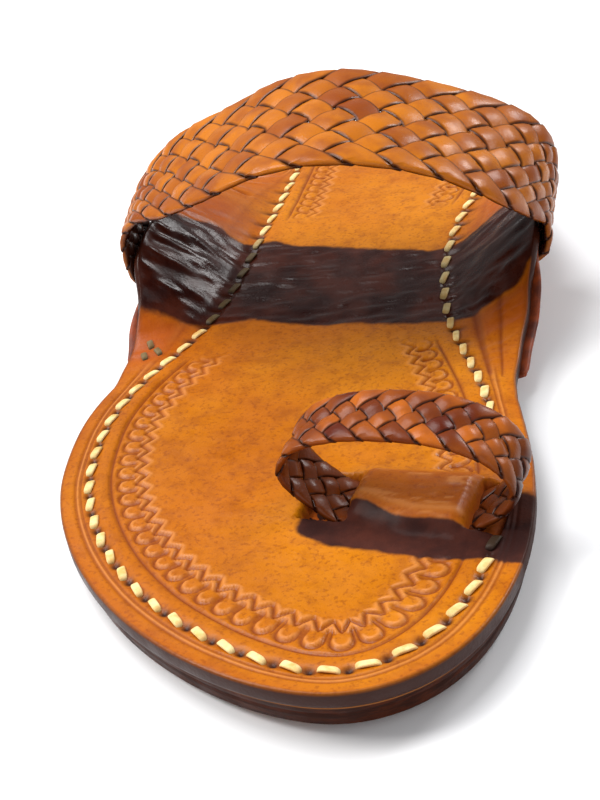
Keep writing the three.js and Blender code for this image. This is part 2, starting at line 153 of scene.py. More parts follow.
@dataclass(frozen=True)
class Last:
    """Outline, heights and ears of the sole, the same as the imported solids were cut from."""

    footbed_thickness: float = 3.2
    outsole_thickness: float = 4.6
    layer_gap: float = 0.3
    lift_height: float = 5.2
    lift_front: float = 82.0
    lift_slant: float = 5.0
    shank_end: float = 140.0
    spring_start: float = 212.0
    spring_height: float = 2.6
    crease_inset: float = 6.0
    crease_bend: float = 5.0
    dish: float = 0.7
    skived: float = 2.2
    skive_length: float = 8.0
    heel_round: tuple = (40.0, 2.1)
    toe_round: tuple = (70.0, 1.82)
    # along, spine, half width
    outline_rows: tuple = (
        (0, 5.4, 35.6), (5, 8.6, 35.6), (12, 10.9, 35.6), (25, 12.4, 35.6), (40, 12.5, 35.6),
        (60, 10.9, 35.2), (75, 8.4, 33.8), (90, 5.7, 32.9), (105, 3.4, 32.7), (120, 1.6, 34.2),
        (135, -0.3, 38.1), (150, -1.5, 43.5), (165, -1.4, 47.4), (180, -0.4, 48.7),
        (200, 2.2, 48.7), (230, 8.6, 48.7), (259.5, 17.4, 48.7),
    )
    # along, lateral reach, lateral lift, medial reach, medial lift
    ear_rows: tuple = (
        (40, 6, 0, 6, 0), (50, 11.5, 13, 6, 0), (58, 17.5, 22, 8, 8), (67, 22, 30, 12, 16),
        (77, 24, 35, 17, 24), (86, 25, 39, 21.5, 29), (95, 25.3, 43, 25, 33),
        (105, 25, 46, 27, 35), (113, 24.5, 47, 27, 35), (119, 22.5, 45, 26.5, 34),
        (125, 18.5, 37, 24, 31), (131, 15, 22, 20.5, 24), (138, 11.5, 9, 17.5, 15),
        (146, 8.5, 2, 13.5, 8), (154, 6, 0, 10.3, 4), (162, 6, 0, 7.3, 2), (170, 6, 0, 6, 0),
    )

    def outline(self, along: np.ndarray) -> tuple:
        """Spine and half width of the footbed.

        Args:
            along: Stations along the sole.

        Returns:
            The spine's "across" and the half width at each station.
        """
        length, power = self.heel_round
        heel = 1 - (1 - np.clip(along / length, 0, 1)) ** power
        length, power_toe = self.toe_round
        toe = 1 - (1 - np.clip((SOLE_LENGTH - along) / length, 0, 1)) ** power_toe
        half = table_value(self.outline_rows, 2, along)
        half = half * heel ** (1 / power) * toe ** (1 / power_toe)
        return table_value(self.outline_rows, 1, along), half

    def underside(self, along: np.ndarray) -> np.ndarray:
        """Height of the outsole's underside: heel lift, shank, flat, toe spring.

        Args:
            along: Stations along the sole.

        Returns:
            The height at each station.
        """
        start = self.lift_front - self.lift_slant
        shank = np.clip((along - start) / (self.shank_end - start), 0, 1)
        spring = np.clip(along - self.spring_start, 0, None) / (SOLE_LENGTH - self.spring_start)
        top = self.lift_height + self.layer_gap
        return top * (1 + np.cos(np.pi * shank)) / 2 + self.spring_height * spring**2

    def bed(self, along: np.ndarray) -> np.ndarray:
        """Height of the footbed's upper face at its edge."""
        layers = self.outsole_thickness + self.layer_gap + self.footbed_thickness
        return self.underside(along) + layers

    def ear_reach(self, side: Side, along: np.ndarray) -> np.ndarray:
        """Length of leather outside the crease."""
        column = 1 if side is Side.LATERAL else 3
        return np.maximum(table_value(self.ear_rows, column, along), self.crease_inset)

    def ear_lift(self, side: Side, along: np.ndarray) -> np.ndarray:
        """Slope of the ear, in radians."""
        column = 2 if side is Side.LATERAL else 4
        return np.radians(np.maximum(table_value(self.ear_rows, column, along), 0))

    def ear_thickness(self, out: np.ndarray) -> np.ndarray:
        """Thickness of the leather, pared down on the ear."""
        pared = smooth(self.crease_inset, self.crease_inset + self.skive_length, out)
        return self.footbed_thickness + (self.skived - self.footbed_thickness) * pared

    def bend(self, lift: np.ndarray, out: np.ndarray) -> tuple:
        """Run, rise and slope of leather bent up at the crease.

        Args:
            lift: Slope of the ear past the bend.
            out: Length of leather outside the crease.

        Returns:
            Horizontal run, rise and slope at that length.
        """
        pieces = 12
        step = out / pieces
        run, rise = np.zeros_like(out), np.zeros_like(out)
        slope = np.zeros_like(out)
        for index in range(pieces):
            slope = lift * smooth(0.0, 1.0, (index + 0.5) * step / self.crease_bend)
            run = run + step * np.cos(slope)
            rise = rise + step * np.sin(slope)
        return run, rise, slope

    def ear_point(self, side: Side, along: np.ndarray, out: np.ndarray,
                  depth: np.ndarray) -> np.ndarray:
        """Places on an ear.

        Args:
            side: Which ear.
            along: Station of each place.
            out: Length of leather outside the crease.
            depth: Distance down through the leather from its upper face.

        Returns:
            Rows of across, along, height.
        """
        along, out, depth = np.broadcast_arrays(
            np.asarray(along, float), np.asarray(out, float), np.asarray(depth, float))
        spine, half = self.outline(along)
        crease = half - np.minimum(self.crease_inset, half * 0.5)
        run, rise, slope = self.bend(self.ear_lift(side, along), out)
        across = spine + side.value * (crease + run + depth * np.sin(slope))
        return np.stack([across, along, self.bed(along) + rise - depth * np.cos(slope)], -1)


LAST = Last()


def frame_shift() -> np.ndarray:
    """Offset from the maker's measures to the frame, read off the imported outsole.

    Returns:
        The shift of "across" and of "along", in millimetres.
    """
    low, high = (np.array(corner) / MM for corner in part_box("outsole"))
    along = np.linspace(0, SOLE_LENGTH, 2001)
    spine, half = LAST.outline(along)
    middle = ((spine - half).min() + (spine + half).max()) / 2
    return np.array([(low[0] + high[0]) / 2 - middle, (low[1] + high[1]) / 2 + SOLE_LENGTH / 2])


SHIFT = frame_shift()


def to_frame(places: np.ndarray) -> np.ndarray:
    """Turns the maker's measures into places in the frame.

    Args:
        places: Rows of across, along, height in millimetres.

    Returns:
        Rows of x, y, z in metres.
    """
    out = np.empty_like(places, dtype=float)
    out[..., 0] = places[..., 0] + SHIFT[0]
    out[..., 1] = SHIFT[1] - places[..., 1]
    out[..., 2] = places[..., 2]
    return out * MM


# ---------------------------------------------------------------------------------------------
# Mesh helpers
# ---------------------------------------------------------------------------------------------


def new_sheet(*names: str) -> bmesh.types.BMesh:
    """Starts a bmesh whose vertices carry one number for each name.

    Args:
        names: Names of the numbers.

    Returns:
        The empty bmesh.
    """
    sheet = bmesh.new()
    for name in names:
        sheet.verts.layers.float.new(name)
    return sheet


def write_vertices(sheet: bmesh.types.BMesh, verts: list, coords: np.ndarray,
                   values: dict) -> None:
    """Moves vertices to their places and writes their numbers.

    Args:
        sheet: The bmesh.
        verts: Its vertices.
        coords: Rows of metres, one for each vertex.
        values: Arrays of numbers by name.
    """
    for name, numbers in values.items():
        layer = sheet.verts.layers.float[name]
        for vert, number in zip(verts, numbers.tolist()):
            vert[layer] = number
    for vert, co in zip(verts, coords.tolist()):
        vert.co = co


def finish_mesh(sheet: bmesh.types.BMesh, name: str, material: bpy.types.Material,
                smooth_faces: bool = True) -> bpy.types.Object:
    """Turns a bmesh into an object in the scene.

    Args:
        sheet: The bmesh, in metres; it is freed.
        name: Name of the piece.
        material: What it is made of.
        smooth_faces: Whether its faces are shaded smooth.

    Returns:
        The object.
    """
    for face in sheet.faces:
        face.smooth = smooth_faces
    mesh = bpy.data.meshes.new(name)
    sheet.to_mesh(mesh)
    sheet.free()
    mesh.materials.append(material)
    piece = bpy.data.objects.new(name, mesh)
    bpy.context.scene.collection.objects.link(piece)
    LOG.info("%s: %d faces", name, len(mesh.polygons))
    return piece


def face_outwards(sheet: bmesh.types.BMesh) -> None:
    """Recalculates the normals of a closed shell so that they point out."""
    bmesh.ops.recalc_face_normals(sheet, faces=sheet.faces)


def settle(piece: bpy.types.Object, slot: str, *nodes: str) -> None:
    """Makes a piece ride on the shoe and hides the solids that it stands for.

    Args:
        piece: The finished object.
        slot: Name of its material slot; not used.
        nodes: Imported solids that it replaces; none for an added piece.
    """
    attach(piece, "root")
    if nodes:
        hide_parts(*nodes)


# ---------------------------------------------------------------------------------------------
# Finishes
# ---------------------------------------------------------------------------------------------


def linear(red: int, green: int, blue: int) -> tuple:
    """Turns a display colour into the linear colour that a shader takes.

    Args:
        red: Red, 0 to 255.
        green: Green, 0 to 255.
        blue: Blue, 0 to 255.

    Returns:
        Red, green, blue and a full alpha.
    """
    def channel(value: int) -> float:
        """One channel, made linear."""
        part = value / 255.0
        return part / 12.92 if part <= 0.04045 else ((part + 0.055) / 1.055) ** 2.4
    return channel(red), channel(green), channel(blue), 1.0


class Shader:
    """One procedural material, built up by small calls."""

    def __init__(self, name: str) -> None:
        """Makes an empty material.

        Args:
            name: Name of the material.
        """
        self.material = bpy.data.materials.new(name)
        self.material.use_nodes = True
        self.tree = self.material.node_tree
        self.surface = self.tree.nodes["Principled BSDF"]
        self.coordinates = self.tree.nodes.new("ShaderNodeTexCoord").outputs["Object"]

    def link(self, source: object, target: object) -> None:
        """Joins an output to an input, or sets the input to a number or colour.

        Args:
            source: An output socket, a number or a colour.
            target: The input socket.
        """
        if isinstance(source, bpy.types.NodeSocket):
            self.tree.links.new(source, target)
        else:
            target.default_value = source

    def attribute(self, name: str) -> object:
        """Reads one of the piece's own numbers.

        Args:
            name: Name of the attribute.

        Returns:
            The output socket.
        """
        node = self.tree.nodes.new("ShaderNodeAttribute")
        node.attribute_name = name
        return node.outputs["Fac"]

    def noise(self, scale: float, detail: float = 3.0, roughness: float = 0.55,
              stretch: tuple = (1.0, 1.0, 1.0)) -> object:
        """Noise over the piece's own coordinates.

        Args:
            scale: Cells a metre.
            detail: How many finer layers are added.
            roughness: How strong the finer layers are.
            stretch: Scale of each axis before the noise is read.

        Returns:
            The output socket.
        """
        mapping = self.tree.nodes.new("ShaderNodeMapping")
        mapping.inputs["Scale"].default_value = stretch
        self.link(self.coordinates, mapping.inputs["Vector"])
        node = self.tree.nodes.new("ShaderNodeTexNoise")
        node.inputs["Scale"].default_value = scale
        node.inputs["Detail"].default_value = detail
        node.inputs["Roughness"].default_value = roughness
        self.link(mapping.outputs["Vector"], node.inputs["Vector"])
        return node.outputs["Fac"]

    def span(self, value: object, low: float, high: float, to_low: float = 0.0,
             to_high: float = 1.0) -> object:
        """Stretches a value from one range to another and holds it at the ends.

        Args:
            value: The value to stretch.
            low: Start of its range.
            high: End of its range.
            to_low: What the start becomes.
            to_high: What the end becomes.

        Returns:
            The output socket.
        """
        node = self.tree.nodes.new("ShaderNodeMapRange")
        node.interpolation_type = "SMOOTHSTEP"
        for name, number in (("From Min", low), ("From Max", high), ("To Min", to_low),
                             ("To Max", to_high)):
            node.inputs[name].default_value = number
        self.link(value, node.inputs["Value"])
        return node.outputs["Result"]

    def math(self, operation: str, first: object, second: object = 0.0) -> object:
        """Does one arithmetic operation.

        Args:
            operation: Name of the operation.
            first: First value.
            second: Second value.

        Returns:
            The output socket.
        """
        node = self.tree.nodes.new("ShaderNodeMath")
        node.operation = operation
        self.link(first, node.inputs[0])
        self.link(second, node.inputs[1])
        return node.outputs["Value"]

    def mix(self, share: object, first: object, second: object) -> object:
        """Mixes two colours.

        Args:
            share: Share of the second colour.
            first: First colour.
            second: Second colour.

        Returns:
            The output socket.
        """
        node = self.tree.nodes.new("ShaderNodeMix")
        node.data_type = "RGBA"
        self.link(share, node.inputs["Factor"])
        self.link(first, node.inputs[6])
        self.link(second, node.inputs[7])
        return node.outputs[2]

    def bump(self, height: object, distance: float, strength: float,
             below: object = None) -> object:
        """Fine relief on top of the mesh.

        Args:
            height: Height, 0 to 1.
            distance: Depth in metres that 1 stands for.
            strength: How much of it shows.
            below: Another bump to add to.

        Returns:
            The bent normal.
        """
        node = self.tree.nodes.new("ShaderNodeBump")
        node.inputs["Distance"].default_value = distance
        node.inputs["Strength"].default_value = strength
        self.link(height, node.inputs["Height"])
        if below is not None:
            self.link(below, node.inputs["Normal"])
        return node.outputs["Normal"]

    def finish(self, colour: object, roughness: object, normal: object = None,
               specular: float = 0.5, coat: float = 0.0,
               coat_roughness: float = 0.3) -> bpy.types.Material:
        """Feeds the surface.

        Args:
            colour: Base colour.
            roughness: Roughness.
            normal: Bent normal, if any.
            specular: Specular level.
            coat: Weight of the glaze.
            coat_roughness: Roughness of the glaze.

        Returns:
            The finished material.
        """
        self.link(colour, self.surface.inputs["Base Color"])
        self.link(roughness, self.surface.inputs["Roughness"])
        self.surface.inputs["Specular IOR Level"].default_value = specular
        self.surface.inputs["IOR"].default_value = 1.4
        self.surface.inputs["Coat Weight"].default_value = coat
        self.surface.inputs["Coat Roughness"].default_value = coat_roughness
        if normal is not None:
            self.link(normal, self.surface.inputs["Normal"])
        return self.material


@dataclass(frozen=True)
class FootbedFinish:
    """Oiled, stamped footbed leather with a band of dark dye under the instep, painted highlights
    on its ridges and bridge, and painted shade in its stitch pits, slit and creases and in the dark
    patch by the ring.
    """

    ochre: tuple = linear(184, 100, 3)
    amber: tuple = linear(202, 120, 6)
    umber: tuple = linear(122, 50, 8)
    rust: tuple = linear(164, 70, 12)
    dye: tuple = linear(44, 13, 8)
    worn_dye: tuple = linear(78, 34, 22)
    edge: tuple = linear(52, 20, 9)
    flesh: tuple = linear(176, 84, 20)
    painted_highlight: tuple = linear(226, 150, 84)

    def build(self) -> bpy.types.Material:
        """Makes the material.

        Returns:
            The material.
        """
        shader = Shader("footbed_leather_finish")
        cloud = shader.span(shader.noise(22.0, 4.0), 0.38, 0.66)
        colour = shader.mix(cloud, self.ochre, self.amber)
        mottle = shader.span(shader.noise(210.0, 6.0, 0.68), 0.42, 0.72)
        colour = shader.mix(shader.math("MULTIPLY", mottle, 0.4), colour, self.umber)
        speck = shader.span(shader.noise(1100.0, 2.0), 0.52, 0.7)
        colour = shader.mix(shader.math("MULTIPLY", speck, 0.42), colour, self.umber)
        colour = shader.mix(shader.attribute("rust"), colour, self.rust)
        # tooled lines darker, with painted shade in the slit and the ear creases
        colour = shader.mix(shader.attribute("pressed"), colour, self.umber)
        # painted highlight: a pale tint on the stamped ridges, between the fine grooves and on the
        # bridge
        colour = shader.mix(shader.attribute("ridge_and_highlight"), colour, self.painted_highlight)
        dye_edge = shader.math("ADD", shader.attribute("dye"),
                               shader.span(shader.noise(260.0, 3.0), 0.2, 0.8, -0.1, 0.1))
        dyed = shader.mix(shader.span(shader.noise(90.0, 4.0), 0.35, 0.7), self.dye,
                          self.worn_dye)
        colour = shader.mix(shader.span(dye_edge, 0.3, 0.7), colour, dyed)
        colour = shader.mix(shader.attribute("flesh"), colour, self.flesh)
        # cut edges darker, and painted shade in the stitch pits
        colour = shader.mix(shader.attribute("edge"), colour, self.edge)
        roughness = shader.span(shader.noise(140.0, 4.0), 0.3, 0.7, 0.3, 0.5)
        roughness = shader.math("ADD", roughness,
                                shader.math("MULTIPLY", shader.attribute("flesh"), 0.3))
        grain = shader.bump(shader.noise(1500.0, 2.0), 0.00012, 0.5)
        wrinkle = shader.bump(shader.noise(420.0, 4.0, 0.6), 0.0003, 0.35, grain)
        roughness = shader.math("SUBTRACT", roughness,
                                shader.math("MULTIPLY", shader.attribute("dye"), 0.13))
        roughness = shader.math("ADD", roughness,
                                shader.math("MULTIPLY", shader.attribute("matt"), 0.45))
        return shader.finish(colour, roughness, wrinkle, 0.24, 0.05, 0.2)


@dataclass(frozen=True)
class SoleFinish:
    """Burnished edges and a rubbed underside of sole leather."""

    dark: tuple = linear(42, 14, 4)
    brown: tuple = linear(92, 38, 10)
    tan: tuple = linear(150, 92, 44)

    def build(self) -> bpy.types.Material:
        """Makes the material.

        Returns:
            The material.
        """
        shader = Shader("sole_leather_finish")
        fibres = shader.span(shader.noise(500.0, 3.0, 0.6, (0.35, 0.35, 2.6)), 0.35, 0.7)
        colour = shader.mix(shader.math("MULTIPLY", fibres, 0.5), self.dark, self.brown)
        worn = shader.span(shader.noise(60.0, 4.0), 0.35, 0.7)
        under = shader.mix(worn, self.tan, self.brown)
        colour = shader.mix(shader.attribute("under"), colour, under)
        colour = shader.mix(shader.attribute("rub"), colour, self.tan)
        roughness = shader.span(shader.noise(200.0, 3.0), 0.3, 0.7, 0.32, 0.5)
        roughness = shader.math("ADD", roughness,
                                shader.math("MULTIPLY", shader.attribute("under"), 0.25))
        bump = shader.bump(shader.noise(900.0, 3.0), 0.0002, 0.4)
        return shader.finish(colour, roughness, bump, 0.12, 0.0, 0.3)


@dataclass(frozen=True)
class WovenFinish:
    """Glazed leather ribbons, darker towards their cut edges, which also paints shade in the gaps
    between them, and on the flesh side, whose dark default paints shade on the band's inner face
    and where ribbons pass under one another; painted shade also darkens the low parts of a strap.
    """

    name: str
    light: tuple
    deep: tuple
    # dark of the cut edges, also used for painted shade in the gaps between ribbons and on the low
    # parts
    edge: tuple = linear(44, 14, 6)
    # flesh side: the band's dark default is painted shade on its inner face and where its ribbons
    # pass under one another; the ring takes a lighter one
    inside: tuple = linear(50, 22, 12)
    coat: float = 0.06

    def build(self) -> bpy.types.Material:
        """Makes the material.

        Returns:
            The material.
        """
        shader = Shader(self.name)
        colour = shader.mix(shader.attribute("tint"), self.light, self.deep)
        cloud = shader.span(shader.noise(130.0, 4.0), 0.35, 0.7)
        colour = shader.mix(shader.math("MULTIPLY", cloud, 0.6), colour, self.deep)
        # flesh side, and for the band painted shade where ribbons lie below the strap's middle
        colour = shader.mix(shader.attribute("inner"), colour, self.inside)
        # painted shade on the strap's low parts, in the dark of the cut edges
        colour = shader.mix(shader.attribute("stain_and_shade"), colour, self.edge)
        # cut edges dark, also painted shade in the gaps between ribbons
        colour = shader.mix(shader.attribute("rim"), colour, self.edge)
        roughness = shader.span(shader.noise(260.0, 4.0), 0.3, 0.7, 0.24, 0.42)
        grain = shader.bump(shader.noise(1500.0, 3.0), 0.00012, 0.4)
        pull = shader.bump(shader.noise(350.0, 3.0), 0.0003, 0.3, grain)
        return shader.finish(colour, roughness, pull, 0.24, self.coat, 0.2)


@dataclass(frozen=True)
class ThongFinish:
    """Pale thong, browner where it has taken dye, and darker with painted shade at its ends and in
    the dark patch.
    """

    cream: tuple = linear(246, 222, 160)
    honey: tuple = linear(226, 180, 104)
    stain_and_shade: tuple = linear(40, 20, 12)

    def build(self) -> bpy.types.Material:
        """Makes the material.

        Returns:
            The material.
        """
        shader = Shader("thong_finish")
        cloud = shader.span(shader.noise(350.0, 3.0), 0.35, 0.7)
        colour = shader.mix(cloud, self.cream, self.honey)
        # the dye the thong has taken, with painted shade at its ends and in the dark patch
        colour = shader.mix(shader.attribute("stain_and_shade"), colour, self.stain_and_shade)
        bump = shader.bump(shader.noise(1300.0, 3.0), 0.00015, 0.5)
        return shader.finish(colour, 0.5, bump, 0.3)


@dataclass(frozen=True)
class PlainFinish:
    """Plain leather of one colour."""

    name: str
    colour: tuple
    shade: tuple
    roughness: float = 0.5
    coat: float = 0.0

    def build(self) -> bpy.types.Material:
        """Makes the material.

        Returns:
            The material.
        """
        shader = Shader(self.name)
        cloud = shader.span(shader.noise(300.0, 4.0), 0.3, 0.7)
        colour = shader.mix(cloud, self.colour, self.shade)
        bump = shader.bump(shader.noise(1300.0, 3.0), 0.00015, 0.5)
        return shader.finish(colour, self.roughness, bump, 0.45, self.coat)


# ---------------------------------------------------------------------------------------------
# Loops drawn in from the outline
# ---------------------------------------------------------------------------------------------


@dataclass
class Outline:
    """The footbed's outline as a closed loop, with the direction inwards at every point.

    The loop starts at the back of the heel, runs up the medial side to the toe and back down
    the lateral side.
    """

    count: int
    stations: int = 9001
    point_spread: float = 3.0
    turn_spread: float = 0.012
    points: np.ndarray = field(init=False)
    inward: np.ndarray = field(init=False)

    def __post_init__(self) -> None:
        """Draws the loop with evenly spaced points."""
        turn = np.linspace(0.0, np.pi, self.stations)
        along = SOLE_LENGTH * (1 - np.cos(turn)) / 2
        spine, half = LAST.outline(along)
        half_count = self.count // 2
        sides = []
        for sign in (1, -1):
            line = np.stack([spine + sign * half, along], -1)
            steps = np.r_[0.0, np.cumsum(np.linalg.norm(np.diff(line, axis=0), axis=1))]
            wanted = np.linspace(0.0, steps[-1], half_count + 1)
            sides.append(np.stack([np.interp(wanted, steps, line[:, i]) for i in (0, 1)], -1))
        points = np.concatenate([sides[0][:-1], sides[1][::-1][:-1]])
        self.points = self.smoothed(points, self.point_spread / (steps[-1] / half_count))
        tangent = np.roll(self.points, -1, 0) - np.roll(self.points, 1, 0)
        tangent /= np.linalg.norm(tangent, axis=1)[:, None]
        inward = np.stack([-tangent[:, 1], tangent[:, 0]], -1)
        inward = self.smoothed(inward, self.count * self.turn_spread)
        self.inward = inward / np.linalg.norm(inward, axis=1)[:, None]

    def smoothed(self, rows: np.ndarray, reach: float) -> np.ndarray:
        """Rows of the closed loop, evened out over a few points.

        Args:
            rows: One row for each point.
            reach: Spread of the evening out, in points.

        Returns:
            The evened rows.
        """
        wide = int(math.ceil(3 * reach))
        window = np.exp(-((np.arange(-wide, wide + 1) / reach) ** 2) / 2)
        window /= window.sum()
        padded = np.concatenate([rows[-wide:], rows, rows[:wide]])
        return np.stack([np.convolve(padded[:, i], window, mode="valid") for i in (0, 1)], -1)

    def inset(self, distance: float) -> np.ndarray:
        """The loop drawn in by a distance."""
        return self.points + self.inward * distance

    def lengths(self, distance: float) -> np.ndarray:
        """Measures the loop drawn in by a distance.

        Args:
            distance: How far it is drawn in.

        Returns:
            Length from its start to each point.
        """
        loop = self.inset(distance)
        steps = np.linalg.norm(np.roll(loop, -1, 0) - loop, axis=1)
        return np.r_[0.0, np.cumsum(steps)[:-1]]


@dataclass
class Ladder:
    """Rungs between the two halves of a loop, to fill its inside with faces."""

    count: int
    columns: int

    def add(self, sheet: bmesh.types.BMesh) -> tuple:
        """Adds the grid of the ladder to a bmesh.

        Args:
            sheet: The bmesh.

        Returns:
            The new vertices, their index along the loop and their share from the medial to the
            lateral half.
        """
        made = bmesh.ops.create_grid(
            sheet, x_segments=self.count // 2, y_segments=self.columns, size=0.5)["verts"]
        params = np.array([(vert.co.x + 0.5, vert.co.y + 0.5) for vert in made])
        return made, np.rint(params[:, 0] * (self.count // 2)).astype(int), params[:, 1]


def loop_grid(sheet: bmesh.types.BMesh, count: int, rows: int) -> tuple:
    """Adds a grid that wraps once round a loop; its seam is merged later.

    Args:
        sheet: The bmesh.
        count: Points of the loop.
        rows: Rows of vertices, less one.

    Returns:
        The new vertices, their index along the loop and their row.
    """
    made = bmesh.ops.create_grid(sheet, x_segments=count, y_segments=rows, size=0.5)["verts"]
    params = np.array([(vert.co.x + 0.5, vert.co.y + 0.5) for vert in made])
    column = np.rint(params[:, 0] * count).astype(int) % count
    return made, column, np.rint(params[:, 1] * rows).astype(int)


# ---------------------------------------------------------------------------------------------
# Sole layers
# ---------------------------------------------------------------------------------------------


@dataclass
class SoleLayer:
    """A flat layer of the sole with a burnished edge."""

    name: str
    node: str
    inset: float
    undercut: float
    bottom: Callable[[np.ndarray], np.ndarray]
    top: Callable[[np.ndarray], np.ndarray]
    front: float = SOLE_LENGTH
    slant: float = 0.0
    count: int = 720
    columns: int = 20
    corner: float = 0.5
    wall_steps: int = 12
    under_rim: float = 12.0
    top_rim: float = 8.0
    groove_heights: tuple = ()

    def cut_front(self, sheet: bmesh.types.BMesh) -> None:
        """Cuts the layer off along its slanted front and closes the cut.

        Args:
            sheet: The layer's closed bmesh, in metres.
        """
        low, high = to_frame(np.array([[0.0, self.front - self.slant, 0.0],
                                       [0.0, self.front, LAST.lift_height]]))
        toewards = Vector((1.0, 0.0, 0.0)).cross(Vector(high - low))
        made = bmesh.ops.bisect_plane(
            sheet, geom=sheet.verts[:] + sheet.edges[:] + sheet.faces[:], dist=1e-7,
            plane_co=low, plane_no=toewards, clear_outer=True)
        rim = [part for part in made["geom_cut"] if isinstance(part, bmesh.types.BMEdge)]
        for edge in rim:
            edge.smooth = False
        bmesh.ops.holes_fill(sheet, edges=rim, sides=0)

    def build(self, finish: bpy.types.Material) -> bpy.types.Object:
        """Makes the layer.

        Args:
            finish: What it is made of.

        Returns:
            The object.
        """
        outline = Outline(self.count)
        sheet = new_sheet("under", "rub")
        # share of the thickness and distance drawn in: under the rim, up the wall, over the top
        c = self.corner
        profile = [(0.0, self.under_rim), (0.0, 6.0), (0.0, 2.0), (0.0, c), (0.15 * c, 0.15 * c)]
        profile += [(step / self.wall_steps, 0.0) for step in range(self.wall_steps + 1)]
        profile += [(1.0, 0.15 * c), (1.0, c), (1.0, 2.0), (1.0, self.top_rim)]
        made, column, row = loop_grid(sheet, self.count, len(profile) - 1)
        table = np.array(profile)
        share, drawn = table[row, 0], table[row, 1]
        wall = drawn == 0.0
        rounded = np.where(wall, np.clip(share, 0.06, 0.94), share)
        cut = self.undercut * (1 - rounded)
        line = np.zeros(len(made))
        for height in self.groove_heights:
            line += groove(rounded - height, 0.05) * wall
        points = outline.points[column]
        inward = outline.inward[column]
        distance = self.inset + cut + drawn + 0.35 * line
        flat = points + inward * distance[:, None]
        low, high = self.bottom(flat[:, 1]), self.top(flat[:, 1])
        height = low + (high - low) * rounded
        coords = np.column_stack([flat, height])
        values = {"under": np.where(share <= 0, smooth(0.3, 1.2, drawn), 0.0),
                  "rub": np.where(share >= 0.99, 0.55 * (drawn < 1.0), 0.0)
                  + np.where(wall, smooth(0.9, 1.0, share) * 0.5, 0.0)}
        verts = list(made)
        for at_top, inner in ((False, self.under_rim), (True, self.top_rim)):
            rungs, index, part = Ladder(self.count, self.columns).add(sheet)
            edge_drawn = self.inset + inner + (0.0 if at_top else self.undercut)
            loop = outline.inset(edge_drawn)
            medial, lateral = loop[index % self.count], loop[(-index) % self.count]
            flat = medial + (lateral - medial) * part[:, None]
            level = self.top(flat[:, 1]) if at_top else self.bottom(flat[:, 1])
            coords = np.vstack([coords, np.column_stack([flat, level])])
            values["under"] = np.r_[values["under"], np.full(len(flat), float(not at_top))]
            values["rub"] = np.r_[values["rub"], np.zeros(len(flat))]
            verts += list(rungs)
        write_vertices(sheet, verts, to_frame(coords), values)
        bmesh.ops.remove_doubles(sheet, verts=sheet.verts, dist=2e-6)
        bmesh.ops.dissolve_degenerate(sheet, dist=1e-7, edges=sheet.edges)
        if self.front < SOLE_LENGTH:
            self.cut_front(sheet)
        face_outwards(sheet)
        piece = finish_mesh(sheet, self.name, finish)
        settle(piece, "sole_leather", self.node)
        return piece


# ---------------------------------------------------------------------------------------------
# Footbed
# ---------------------------------------------------------------------------------------------


@dataclass(frozen=True)
class RingSeat:
    """Where the toe ring stands, its slots and the bridge between them."""

    across: float = 25.8
    along: float = 205.0
    turn: float = math.radians(13)
    slot_outer: float = 19.6
    bridge_ends: tuple = (10.8, 13.4)
    half_width: float = 7.2
    flank: float = 4.5
    rise: float = 3.3
    cut_back: float = 4.4

    def local(self, flat: np.ndarray) -> tuple:
        """Turns places of the footbed into the ring's own directions.

        Args:
            flat: Unrolled places, across and along.

        Returns:
            Across and forward, measured from the ring's middle.
        """
        x, y = flat[..., 0] - self.across, flat[..., 1] - self.along
        c, s = math.cos(self.turn), math.sin(self.turn)
        return x * c + y * s, -x * s + y * c

    def beside(self, across: np.ndarray, forward: np.ndarray) -> np.ndarray:
        """Distance from the bridge's middle line, which is cut back at its lateral toe corner.

        Args:
            across: Places across, in the ring's own directions.
            forward: Places forward, in the ring's own directions.

        Returns:
            The distance, to be compared with half the bridge's width.
        """
        pull = self.cut_back * smooth(4.0, -11.0, across)
        return np.where(forward > 0, forward + pull * smooth(0.0, 3.0, forward), -forward)

    def out(self, across: np.ndarray, forward: np.ndarray, height: np.ndarray) -> np.ndarray:
        """Turns the ring's own directions back into the maker's measures.

        Args:
            across: Places across, in the ring's own directions.
            forward: Places forward, in the ring's own directions.
            height: Heights above the floor.

        Returns:
            Rows of across, along, height.
        """
        c, s = math.cos(self.turn), math.sin(self.turn)
        return np.stack([self.across + across * c - forward * s,
                         self.along + across * s + forward * c, height], -1)


SEAT = RingSeat()


